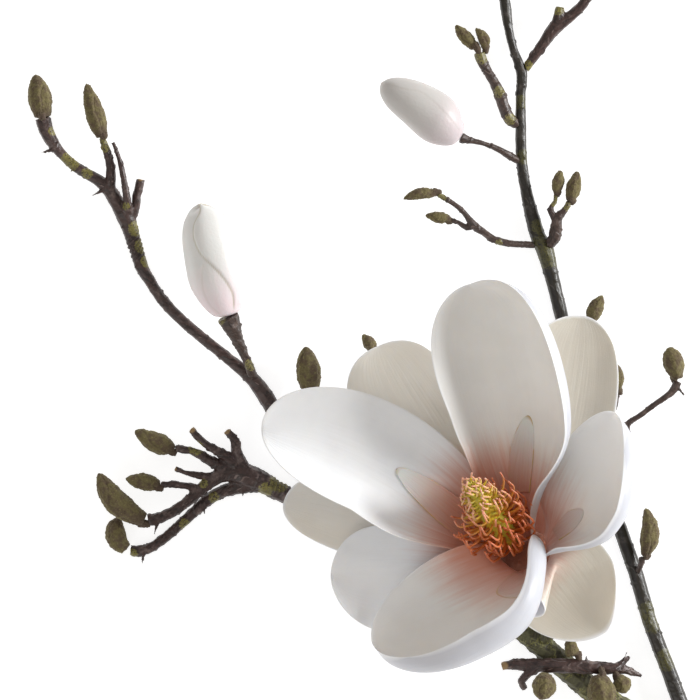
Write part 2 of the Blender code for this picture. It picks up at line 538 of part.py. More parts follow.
GREEN_BUDS = {
    "bud_spur_left": dict(base=(50.2, 122.1, 10.6), tip=(42.3, 130.6, 11.4), radius=2.5, foot=1.6),
    "bud_spur_right": dict(base=(54.2, 121.6, 10.8), tip=(50.4, 129.4, 12.4), radius=2.4,
                           foot=1.2, bow=(1.4, 0.2, 0.0)),
    "bud_west_a": dict(base=(34.7, 62.9, 11.4), tip=(21.4, 60.6, 12.0), radius=2.3, foot=1.0,
                       bow=(0.0, 1.2, 0.0)),
    "bud_west_b": dict(base=(40.5, 52.8, 8.8), tip=(30.2, 54.3, 9.0), radius=2.2, foot=0.9),
    "bud_east_a": dict(base=(82.8, 63, 10.4), tip=(84.8, 72.4, 10.8), radius=2.4, foot=0.9),
    "bud_east_b": dict(base=(88.7, 60, 10.8), tip=(91.6, 72, 11.4), radius=2.9, foot=1.3),
    "bud_top_right": dict(base=(96.8, 12.3, 7.8), tip=(101.7, 22, 8.4), radius=3.2, foot=1.6,
                          widest=0.3),
    "bud_right_small": dict(base=(107.6, -17, 8.8), tip=(106, -4, 9.4), radius=2.7, foot=1.0,
                            bow=(0.8, 0, 0)),
    "bud_right_big": dict(base=(132, -11.4, 11.0), tip=(128.4, 1.2, 11.4), radius=4.3,
                          foot=2.1, widest=0.55),
    "bud_low_main": dict(base=(118.6, -82.9, 9.6), tip=(119, -63.6, 10.4), radius=3.8,
                         foot=1.4, widest=0.36, bow=(2.2, 0, 0)),
    "bud_behind_left": dict(base=(-16, -17.2, 7.4), tip=(-17.9, 1.6, 8.0), radius=5.0,
                            foot=2.6, widest=0.38),
    "bud_behind_back": dict(base=(9.7, 0.3, 5.2), tip=(5.2, 6.2, 5.4), radius=2.6, foot=1.3,
                            widest=0.36),
    "bud_tip_a": dict(base=(-124.1, 94.2, 6.8), tip=(-126.7, 111.2, 7.4), radius=4.8,
                      foot=3.2, widest=0.42),
    "bud_tip_b": dict(base=(-100.2, 86.1, 9.4), tip=(-106.3, 107.5, 10.2), radius=3.9,
                      foot=1.8, widest=0.32),
    "bud_fan_big": dict(base=(-83.2, -68.3, 10.0), tip=(-101.2, -49.6, 11.0), radius=5.0,
                        foot=2.7, widest=0.45, bow=(-2.2, -2.0, 0)),
    "bud_fan_low": dict(base=(-90.6, -80.6, 4.6), tip=(-93.6, -67.6, 5.4), radius=4.4,
                        foot=2.6, widest=0.5, bow=(-2.6, -1.0, 0)),
    "bud_fan_west": dict(base=(-70.9, -39.7, 10.4), tip=(-86.6, -32.2, 11.4), radius=4.2,
                         foot=1.7, widest=0.34, bow=(0, -1.0, 0)),
    "bud_fan_side": dict(base=(-76.7, -54.2, 11.6), tip=(-90.2, -51.7, 12.2), radius=3.5,
                         foot=1.6, widest=0.36),
    "bud_bottom_left": dict(base=(78.6, -130.6, 15.6), tip=(76.6, -139.4, 22.0), radius=4.9,
                            foot=2.6, widest=0.45),
    "bud_bottom_middle": dict(base=(99.4, -130.8, 16.2), tip=(102.4, -144.2, 21.0), radius=6.0,
                              foot=3.0, widest=0.5),
    "bud_bottom_right": dict(base=(108, -131.4, 12.6), tip=(110.8, -137.6, 15.4), radius=3.8,
                             foot=1.8, widest=0.5),
    "bud_leader": dict(base=(60.3, 155.4, 6.6), tip=(58.2, 170.6, 7.0), radius=3.4, foot=1.6),
    "bud_top_branch": dict(base=(99.7, 149.4, 9.2), tip=(104.6, 163.6, 10.0), radius=3.4,
                           foot=1.6),
}
WHITE_BUDS = {
    "white_bud_left": dict(base=(-49.4, 15.2, 17.3), tip=(-59.8, 57.8, 22.0), radius=11.5,
                           foot=4.6, widest=0.42, rings=14, shoulder=0.8, crown=2.6, point=0.3),
    "white_bud_top": dict(base=(43, 86, 14.4), tip=(12.4, 106.8, 20.0), radius=9.9,
                          foot=3.0, widest=0.34, bow=(0.6, 1.0, 0.0), rings=14, shoulder=0.75,
                          crown=1.7, point=0.28),
}
SCALES = {
    "scale_bottom": dict(base=(89.6, -123, 13.2), tip=(88, -115.2, 11.6), radius=2.9, foot=2.6,
                         widest=0.2),
}


def build_stems(group, tools):
    """The woody pieces."""
    stem("main_stem", MAIN_STEM, finish("main_stem_bark", BARK, BARK_ROUGHNESS), group)
    for name, routes, carriers, colour in SHOOTS:
        skin = finish(f"{name}_bark", colour, BARK_ROUGHNESS)
        fork(name, routes, carriers, skin, group, tools)


def build_buds(group):
    """The green winter buds, the scale leaf and the two white flower buds."""
    for name, spec in {**GREEN_BUDS, **SCALES}.items():
        bud(name, spec, finish(f"{name}_down", MOSS, DOWN_ROUGHNESS), group)
    for name, spec in WHITE_BUDS.items():
        bud(name, spec, finish(f"{name}_skin", WHITE, PETAL_ROUGHNESS), group)


def main():
    """Build the spray."""
    clear_scene()
    parts = new_collection("magnolia_spray")
    tools = new_collection("joining_shapes")
    build_stems(parts, tools)
    build_buds(parts)
    build_petals(parts)
    build_tongues(parts)
    build_heart(parts)


main()
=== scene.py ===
"""Magnolia spray lying on a pale table: one open flower, two white flower buds
and bare, mossy twigs that carry downy green buds.

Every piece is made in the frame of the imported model. Places on the spray are in
millimetres on its plan (x, y, height) and become metres with plan().
"""
from __future__ import annotations

import heapq
import logging
import math
import random
from dataclasses import dataclass, field
from enum import Enum

import bmesh
import bpy
from mathutils import Matrix, Vector, noise
from mathutils.bvhtree import BVHTree

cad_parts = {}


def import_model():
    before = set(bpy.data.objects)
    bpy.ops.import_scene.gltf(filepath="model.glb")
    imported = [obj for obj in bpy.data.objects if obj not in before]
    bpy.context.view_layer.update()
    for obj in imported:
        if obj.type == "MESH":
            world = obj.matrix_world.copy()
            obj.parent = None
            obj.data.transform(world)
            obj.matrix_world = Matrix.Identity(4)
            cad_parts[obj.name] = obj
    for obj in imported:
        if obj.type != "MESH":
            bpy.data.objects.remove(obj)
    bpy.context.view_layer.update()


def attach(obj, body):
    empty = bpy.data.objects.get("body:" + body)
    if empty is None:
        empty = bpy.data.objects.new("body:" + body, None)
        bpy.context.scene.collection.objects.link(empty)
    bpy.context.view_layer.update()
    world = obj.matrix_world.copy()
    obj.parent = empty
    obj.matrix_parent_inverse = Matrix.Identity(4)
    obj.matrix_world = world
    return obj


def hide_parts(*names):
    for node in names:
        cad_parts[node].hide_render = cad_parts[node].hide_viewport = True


LOG = logging.getLogger("magnolia_spray")
MM = 0.001
BODY = "root"
PLAN_ORIGIN = Vector((11.1, -5.4, 0.3))

Colour = tuple[float, float, float]
Place = tuple[float, float, float]
Spot = tuple[float, float, float]

SCAR_TONE = (0.030, 0.020, 0.016)
CUT_WOOD_TONE = (0.33, 0.21, 0.09)
BUD_FOOT_TONE = (0.075, 0.045, 0.035)
BUD_KEEL_TONE = (0.090, 0.060, 0.040)


def plan(x: float, y: float, z: float) -> Vector:
    """A place on the spray's plan, in metres in the frame."""
    return (Vector((x, y, z)) - PLAN_ORIGIN) * MM


def smooth(low: float, high: float, value: float) -> float:
    """0 below low, 1 above high, with an eased rise between them."""
    t = min(max((value - low) / (high - low), 0.0), 1.0)
    return t * t * (3.0 - 2.0 * t)


def shaded(colour: Colour, share: float) -> Colour:
    """A colour made darker or lighter, at most 1 in each part."""
    return tuple(min(1.0, share * part) for part in colour)


def eased_table(stops: tuple[tuple[float, float], ...], value: float) -> float:
    """Value of a curve through (position, height) stops, eased between them."""
    if value <= stops[0][0]:
        return stops[0][1]
    for (x0, y0), (x1, y1) in zip(stops, stops[1:]):
        if value <= x1:
            return y0 + (y1 - y0) * smooth(x0, x1, value)
    return stops[-1][1]


def curve_through(stops: tuple[tuple[float, float], ...], value: float) -> float:
    """Value of one smooth curve through (position, height) stops."""
    if value <= stops[0][0]:
        return stops[0][1]
    last = len(stops) - 1
    for i in range(last):
        (x0, y0), (x1, y1) = stops[i], stops[i + 1]
        if value > x1:
            continue
        before, after = stops[max(i - 1, 0)], stops[min(i + 2, last)]
        width = x1 - x0
        rise = width * (y1 - before[1]) / (x1 - before[0])
        fall = width * (after[1] - y0) / (after[0] - x0)
        t = (value - x0) / width
        return ((1.0 + 2.0 * t) * (1.0 - t) ** 2 * y0 + t * (1.0 - t) ** 2 * rise
                + t * t * (3.0 - 2.0 * t) * y1 + t * t * (t - 1.0) * fall)
    return stops[-1][1]


# ---------------------------------------------------------------- meshes


def cad_copy(node: str) -> bmesh.types.BMesh:
    """A merged copy of a CAD node's mesh."""
    bm = bmesh.new()
    bm.from_mesh(bpy.data.objects[node].data)
    bmesh.ops.remove_doubles(bm, verts=bm.verts, dist=1e-6)
    return bm


def object_from(bm: bmesh.types.BMesh, name: str) -> bpy.types.Object:
    """A smooth-shaded object made from a bmesh, which is then freed."""
    mesh = bpy.data.meshes.new(name)
    bm.to_mesh(mesh)
    bm.free()
    mesh.shade_smooth()
    made = bpy.data.objects.new(name, mesh)
    bpy.context.scene.collection.objects.link(made)
    return made


def voxel_skin(bm: bmesh.types.BMesh, size: float) -> bmesh.types.BMesh:
    """One even skin around everything in a bmesh.

    Args:
        bm: the closed shapes to wrap; it is freed.
        size: edge of a voxel, in millimetres.

    Returns:
        A new bmesh of quads of about that size.
    """
    rough = object_from(bm, "rough")
    wrap = rough.modifiers.new("wrap", "REMESH")
    wrap.mode = "VOXEL"
    wrap.voxel_size = size * MM
    graph = bpy.context.evaluated_depsgraph_get()
    skin = bmesh.new()
    skin.from_mesh(bpy.data.meshes.new_from_object(rough.evaluated_get(graph)))
    bpy.data.objects.remove(rough, do_unlink=True)
    return skin


def relax(bm: bmesh.types.BMesh, rounds: int) -> None:
    """Smooth a skin a few times."""
    for _ in range(rounds):
        bmesh.ops.smooth_vert(bm, verts=bm.verts, factor=0.5, use_axis_x=True,
                              use_axis_y=True, use_axis_z=True)


def float_layers(bm: bmesh.types.BMesh, *names: str) -> dict[str, object]:
    """New layers of one value per point, by name."""
    return {name: bm.verts.layers.float.new(name) for name in names}


def thicken(piece: bpy.types.Object, wall: float) -> bpy.types.Modifier:
    """Give a sheet a wall and rounded edges.

    Args:
        piece: the sheet's object.
        wall: thickness, in millimetres.

    Returns:
        The modifier that makes the wall.
    """
    shell = piece.modifiers.new("wall", "SOLIDIFY")
    shell.thickness = wall * MM
    shell.offset = 0.0
    rounding = piece.modifiers.new("round", "SUBSURF")
    rounding.levels = 1
    rounding.render_levels = 1
    return shell


def finish_piece(piece: bpy.types.Object, slot: str, nodes: tuple[str, ...],
                 *materials: bpy.types.Material) -> bpy.types.Object:
    """Dress a piece and tie it to the frame.

    Args:
        piece: the finished object.
        slot: the record's material slot; not used.
        nodes: CAD nodes that it stands for.
        materials: its material slots, in order.
    """
    for material in materials:
        piece.data.materials.append(material)
    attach(piece, BODY)
    if nodes:
        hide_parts(*nodes)
    LOG.info("%s: %d faces", piece.name, len(piece.data.polygons))
    return piece


# ---------------------------------------------------------------- materials


class Recipe:
    """A Principled material while it is wired up."""

    def __init__(self, name: str, roughness: float) -> None:
        """Start a material.

        Args:
            name: the material's name.
            roughness: its even roughness.
        """
        self.material = bpy.data.materials.new(name)
        self.material.use_nodes = True
        self.tree = self.material.node_tree
        self.shader = self.tree.nodes["Principled BSDF"]
        self.set("Roughness", roughness)

    def set(self, socket: str, value: float | tuple[float, ...]) -> None:
        """Set one of the shader's own sockets."""
        self.shader.inputs[socket].default_value = value

    def wire(self, source: bpy.types.NodeSocket, socket: str) -> None:
        """Drive one of the shader's sockets."""
        self.tree.links.new(source, self.shader.inputs[socket])

    def _feed(self, socket: bpy.types.NodeSocket, value: object) -> None:
        """Give a socket a link or a constant."""
        if isinstance(value, bpy.types.NodeSocket):
            self.tree.links.new(value, socket)
        elif isinstance(value, tuple) and len(value) == 3 and socket.type == "RGBA":
            socket.default_value = (*value, 1.0)
        else:
            socket.default_value = value

    def attribute(self, name: str, vector: bool = False) -> bpy.types.NodeSocket:
        """A value stored on the mesh."""
        node = self.tree.nodes.new("ShaderNodeAttribute")
        node.attribute_name = name
        return node.outputs["Vector" if vector else "Fac"]

    def place(self) -> bpy.types.NodeSocket:
        """Object coordinates, in metres."""
        return self.tree.nodes.new("ShaderNodeTexCoord").outputs["Object"]

    def combine(self, x: object, y: object, z: object) -> bpy.types.NodeSocket:
        """A vector from three values."""
        node = self.tree.nodes.new("ShaderNodeCombineXYZ")
        for socket, value in zip(node.inputs, (x, y, z)):
            self._feed(socket, value)
        return node.outputs[0]

    def noise(self, vector: bpy.types.NodeSocket, scale: float, detail: float = 3.0,
              rough: float = 0.55) -> bpy.types.NodeSocket:
        """Cloudy noise between 0 and 1."""
        node = self.tree.nodes.new("ShaderNodeTexNoise")
        self._feed(node.inputs["Vector"], vector)
        node.inputs["Scale"].default_value = scale
        node.inputs["Detail"].default_value = detail
        node.inputs["Roughness"].default_value = rough
        return node.outputs[0]

    def away_from(self, x: float, y: float, z: float) -> bpy.types.NodeSocket:
        """Distance to a place on the plan, in millimetres."""
        node = self.tree.nodes.new("ShaderNodeVectorMath")
        node.operation = "DISTANCE"
        self._feed(node.inputs[0], self.place())
        node.inputs[1].default_value = plan(x, y, z)
        return self.math("DIVIDE", node.outputs["Value"], MM)

    def cells(self, vector: bpy.types.NodeSocket, scale: float) -> bpy.types.NodeSocket:
        """Distance to the nearest of scattered points."""
        node = self.tree.nodes.new("ShaderNodeTexVoronoi")
        self._feed(node.inputs["Vector"], vector)
        node.inputs["Scale"].default_value = scale
        return node.outputs["Distance"]

    def math(self, operation: str, a: object, b: object = 0.0) -> bpy.types.NodeSocket:
        """A sum, product or other step on two values."""
        node = self.tree.nodes.new("ShaderNodeMath")
        node.operation = operation
        self._feed(node.inputs[0], a)
        self._feed(node.inputs[1], b)
        return node.outputs[0]

    def band(self, value: bpy.types.NodeSocket, low: float, high: float,
             start: float = 0.0, end: float = 1.0) -> bpy.types.NodeSocket:
        """Value eased from low..high onto start..end."""
        node = self.tree.nodes.new("ShaderNodeMapRange")
        node.interpolation_type = "SMOOTHSTEP"
        for socket, number in zip(node.inputs, (value, low, high, start, end)):
            self._feed(socket, number)
        return node.outputs[0]

    def blend(self, factor: object, a: object, b: object) -> bpy.types.NodeSocket:
        """Colour a turning into colour b."""
        node = self.tree.nodes.new("ShaderNodeMix")
        node.data_type = "RGBA"
        self._feed(node.inputs[0], factor)
        self._feed(node.inputs[6], a)
        self._feed(node.inputs[7], b)
        return node.outputs[2]

    def weigh(self, a: object, a_share: float, b: object,
              b_share: float) -> bpy.types.NodeSocket:
        """The sum of two values, each times its share."""
        return self.math("ADD", self.math("MULTIPLY", a, a_share),
                         self.math("MULTIPLY", b, b_share))

    def streaks(self, across: float, along: float, detail: float = 3.0,
                rough: float = 0.55) -> bpy.types.NodeSocket:
        """Noise drawn out along a piece, from its across and along layers.

        Args:
            across: how often it changes over the width.
            along: how often it changes over the length.
            detail: number of finer layers.
            rough: strength of the finer layers.
        """
        place = self.combine(self.math("MULTIPLY", self.attribute("across"), across),
                             self.math("MULTIPLY", self.attribute("along"), along), 0.0)
        return self.noise(place, 1.0, detail, rough)

    def glow(self, weight: float, depth: float,
             spread: Colour = (1.0, 0.2, 0.1)) -> None:
        """Light that passes under the surface.

        Args:
            weight: share of the light.
            depth: how far it goes, in millimetres.
            spread: how much farther each colour goes.
        """
        self.set("Subsurface Weight", weight)
        self.set("Subsurface Radius", spread)
        self.set("Subsurface Scale", depth * MM)

    def relief(self, height: bpy.types.NodeSocket, depth: float) -> None:
        """Surface relief from a height of 0 to 1.

        Args:
            height: where the surface stands up.
            depth: height of the relief, in millimetres.
        """
        node = self.tree.nodes.new("ShaderNodeBump")
        node.inputs["Distance"].default_value = depth * MM
        self._feed(node.inputs["Height"], height)
        self.wire(node.outputs[0], "Normal")


@dataclass(frozen=True)
class PetalSkin:
    """Satin petal skin: veined along its length, pink at the claw and darkened to brown-pink near
    the heart, which is painted shade of the flower's throat.
    """

    name: str
    face: Colour
    rim: Colour
    pink_and_shade: Colour
    pink_and_shade_end: float = 41.0
    roughness: float = 0.42
    glow: float = 0.35

    def make(self) -> bpy.types.Material:
        """The wired material."""
        mix = Recipe(self.name, self.roughness)
        veins = mix.streaks(14.0, 2.2, 4.0, 0.6)
        clouds = mix.noise(mix.place(), 70.0, 2.0)
        ragged = mix.math("ADD", mix.away_from(*HEART),
                          mix.math("MULTIPLY", mix.math("SUBTRACT", veins, 0.5), 13.0))
        # Pink near the heart, darkened to brown-pink: partly the petal's own pink, partly painted
        # shade of the flower's throat.
        pink_and_shade = mix.band(ragged, 15.0, self.pink_and_shade_end, 1.0, 0.0)
        tone = mix.blend(mix.band(clouds, 0.35, 0.7, 0.0, 0.5), self.face,
                         shaded(self.face, 0.93))
        tone = mix.blend(mix.attribute("rim"), tone, self.rim)
        tone = mix.blend(pink_and_shade, tone, self.pink_and_shade)
        mix.wire(tone, "Base Color")
        mix.glow(self.glow, 2.0, (1.0, 0.85, 0.7))
        mix.set("Sheen Weight", 0.12)
        grain = mix.noise(mix.place(), 1600.0, 2.0)
        mix.relief(mix.weigh(veins, 0.85, grain, 0.15), 0.22)
        return mix.material


@dataclass(frozen=True)
class TongueSkin:
    """Inner petal skin: as the large petals, with a thin broken ochre edge."""

    name: str
    face: Colour
    rim: Colour
    pink_and_shade: Colour

    def make(self) -> bpy.types.Material:
        """The wired material."""
        mix = Recipe(self.name, 0.45)
        streaks = mix.streaks(9.0, 1.6)
        # Pink near the heart, partly the petal's own pink and partly painted shade of the flower's
        # throat.
        ragged = mix.math("ADD", mix.away_from(*HEART), mix.math("MULTIPLY", streaks, 8.0))
        tone = mix.blend(mix.band(ragged, 19.0, 47.0, 1.0, 0.0), self.face, self.pink_and_shade)
        broken = mix.band(mix.noise(mix.place(), 80.0, 2.0), 0.44, 0.58)
        tone = mix.blend(mix.math("MULTIPLY", mix.attribute("rim"), broken), tone, self.rim)
        mix.wire(tone, "Base Color")
        mix.glow(0.35, 1.5)
        mix.relief(streaks, 0.2)
        return mix.material


@dataclass(frozen=True)
class ClosedBudSkin:
    """White bud skin: grey white with a pink foot and ochre seams."""

    name: str
    face: Colour
    foot: Colour
    seam: Colour

    def make(self) -> bpy.types.Material:
        """The wired material."""
        mix = Recipe(self.name, 0.42)
        along = mix.weigh(mix.attribute("along"), 1.0, mix.streaks(5.0, 1.5), 0.35)
        fade = mix.band(along, 0.2, 0.75, 1.0, 0.0)
        tone = mix.blend(fade, self.face, self.foot)
        tone = mix.blend(mix.attribute("seam"), tone, self.seam)
        mix.wire(tone, "Base Color")
        mix.glow(0.4, 3.0, (1.0, 0.8, 0.75))
        mix.relief(mix.noise(mix.place(), 900.0, 3.0), 0.12)
        return mix.material


@dataclass(frozen=True)
class BarkSkin:
    """Bark whose marks follow the stem, with moss, scars and pale pores."""

    name: str
    dark: Colour
    mid: Colour
    light: Colour
    moss: Colour
    moss_share: float = 0.35
    wrinkle: float = 0.35
    roughness: float = 0.5

    def make(self) -> bpy.types.Material:
        """The wired material."""
        mix = Recipe(self.name, self.roughness)
        grain = mix.attribute("grain", vector=True)
        place = mix.place()
        long_marks = mix.noise(grain, 0.9, 5.0, 0.62)
        patches = mix.noise(place, 190.0, 4.0, 0.6)
        fine = mix.noise(place, 1500.0, 3.0, 0.6)
        tone = mix.blend(mix.band(long_marks, 0.32, 0.62), self.dark, self.mid)
        tone = mix.blend(mix.band(patches, 0.52, 0.74, 0.0, 0.75), tone, self.light)
        tone = mix.blend(mix.band(fine, 0.3, 0.5, 0.45, 0.0), tone, self.dark)
        pores = mix.band(mix.cells(grain, 0.55), 0.10, 0.17, 1.0, 0.0)
        tone = mix.blend(mix.math("MULTIPLY", pores, 0.35), tone,
                         shaded(self.light, 1.7))
        cover = mix.math("ADD", mix.attribute("moss"),
                         mix.band(patches, 0.60 - 0.25 * self.moss_share, 0.78, 0.0,
                                  self.moss_share))
        speckled = mix.math("MULTIPLY", cover, mix.band(fine, 0.36, 0.58, 0.25, 1.25))
        moss_tone = mix.blend(mix.band(long_marks, 0.4, 0.6), self.moss,
                              shaded(self.moss, 1.45))
        tone = mix.blend(mix.band(speckled, 0.25, 0.8), tone, moss_tone)
        tone = mix.blend(mix.attribute("scar"), tone, SCAR_TONE)
        tone = mix.blend(mix.attribute("cut"), tone, CUT_WOOD_TONE)
        mix.wire(tone, "Base Color")
        mix.relief(mix.weigh(long_marks, 0.65, fine, 0.35), self.wrinkle)
        return mix.material


@dataclass(frozen=True)
class DownSkin:
    """Downy bud coat: olive, mottled with brown and lit yellow flecks."""

    name: str
    olive: Colour
    brown: Colour
    fleck: Colour

    def make(self) -> bpy.types.Material:
        """The wired material."""
        mix = Recipe(self.name, 0.85)
        place = mix.place()
        grit = mix.noise(place, 1100.0, 4.0, 0.7)
        cloud = mix.noise(place, 330.0, 3.0, 0.6)
        tone = mix.blend(mix.band(cloud, 0.42, 0.62), self.olive, self.brown)
        tone = mix.blend(mix.band(grit, 0.56, 0.72, 0.0, 0.85), tone, self.fleck)
        tone = mix.blend(mix.band(grit, 0.28, 0.42, 0.8, 0.0), tone,
                         shaded(self.brown, 0.35))
        foot = mix.band(mix.weigh(mix.attribute("along"), 1.0, cloud, 0.25), 0.12, 0.36,
                        0.8, 0.0)
        tone = mix.blend(foot, tone, BUD_FOOT_TONE)
        tone = mix.blend(mix.math("MULTIPLY", mix.attribute("seam"), 0.4), tone,
                         BUD_KEEL_TONE)
        mix.wire(tone, "Base Color")
        mix.set("Sheen Weight", 0.35)
        mix.set("Sheen Roughness", 0.4)
        mix.set("Sheen Tint", (0.75, 0.72, 0.45, 1.0))
        mix.relief(mix.weigh(grit, 0.7, cloud, 0.3), 0.5)
        return mix.material


@dataclass(frozen=True)
class StamenSkin:
    """Waxy stamens: yellow at the heart, orange below and pink at the tips."""

    name: str

    def make(self) -> bpy.types.Material:
        """The wired material."""
        mix = Recipe(self.name, 0.38)
        low = mix.attribute("low")
        tip = mix.attribute("tip")
        heart = mix.blend(mix.band(mix.noise(mix.place(), 420.0, 2.0), 0.35, 0.65),
                          (0.72, 0.54, 0.045), (0.56, 0.50, 0.06))
        tone = mix.blend(low, heart, (0.60, 0.155, 0.03))
        tip_tone = mix.blend(low, (0.88, 0.46, 0.33), (0.68, 0.20, 0.09))
        tone = mix.blend(mix.band(tip, 0.35, 0.95), tone, tip_tone)
        mix.wire(tone, "Base Color")
        mix.glow(0.3, 1.0, (1.0, 0.5, 0.3))
        mix.relief(mix.noise(mix.place(), 900.0, 3.0), 0.15)
        return mix.material


@dataclass(frozen=True)
class ReceptacleSkin:
    """Receptacle: brown-pink where it faces the stamens, green below."""

    name: str
    top: Colour
    foot: Colour

    def make(self) -> bpy.types.Material:
        """The wired material."""
        mix = Recipe(self.name, 0.55)
        away = mix.away_from(*(FLOWER_BASE - RECEPTACLE_DEPTH * FLOWER_AXIS))
        tone = mix.blend(mix.band(away, 10.0, 13.5), self.foot, self.top)
        mix.wire(tone, "Base Color")
        mix.relief(mix.noise(mix.place(), 900.0, 3.0), 0.2)
        return mix.material


class Bark(Enum):
    """The kinds of bark on the spray."""

    OLIVE = BarkSkin("bark_olive", (0.010, 0.007, 0.005), (0.024, 0.019, 0.011),
                     (0.085, 0.070, 0.062), (0.055, 0.050, 0.012), 0.45, 0.14, 0.34)
    MOSSY = BarkSkin("bark_mossy", (0.040, 0.034, 0.018), (0.11, 0.105, 0.045),
                     (0.17, 0.17, 0.09), (0.19, 0.18, 0.055), 0.9, 0.4, 0.58)
    UMBER = BarkSkin("bark_umber", (0.020, 0.011, 0.009), (0.070, 0.038, 0.032),
                     (0.24, 0.175, 0.155), (0.16, 0.14, 0.035), 0.3, 0.28, 0.36)
    TWIG = BarkSkin("bark_twig", (0.026, 0.016, 0.012), (0.080, 0.049, 0.038),
                    (0.17, 0.12, 0.10), (0.16, 0.14, 0.045), 0.35, 0.25, 0.4)


# ---------------------------------------------------------------- the flower


FLOWER_BASE = Vector((70.0, -83.0, 22.0))
FLOWER_AXIS = Vector((-0.444, 0.533, 0.72)).normalized()
RING_EAST = FLOWER_AXIS.cross(Vector((0.0, 0.0, 1.0))).normalized()
RING_UP = RING_EAST.cross(FLOWER_AXIS)
CONE_RISE = 3.4
CONE_FOOT = 12.9
CONE_TOP = 4.6
HEART = (57.0, -69.0, 32.0)
RECEPTACLE_DEPTH = 12.0
STAMEN_AXIS = Vector((-0.478, 0.615, 0.626)).normalized()
SECTION_STEPS = 12
PETAL_WALL = 0.8
SPARE_GAP = 0.3


def round_sheet(x: float, y: float, widest: float) -> tuple[float, float]:
    """Place in a petal of a point of a square grid.

    Below the widest place the grid stays straight; above it the square becomes
    a round tip without a pole.

    Args:
        x: across, -1 to 1.
        y: along, -1 at the claw to 1 at the tip.
        widest: share of the length at which the petal is widest.

    Returns:
        Share of the length, and share of the local half width, -1 to 1.
    """
    if y <= 0.0:
        return widest * (1.0 + y), x
    fall = y * math.sqrt(1.0 - 0.5 * x * x)
    over = x * math.sqrt(1.0 - 0.5 * y * y)
    local = math.sqrt(max(1.0 - fall * fall, 1e-9))
    return widest + (1.0 - widest) * fall, max(-1.0, min(1.0, over / local))


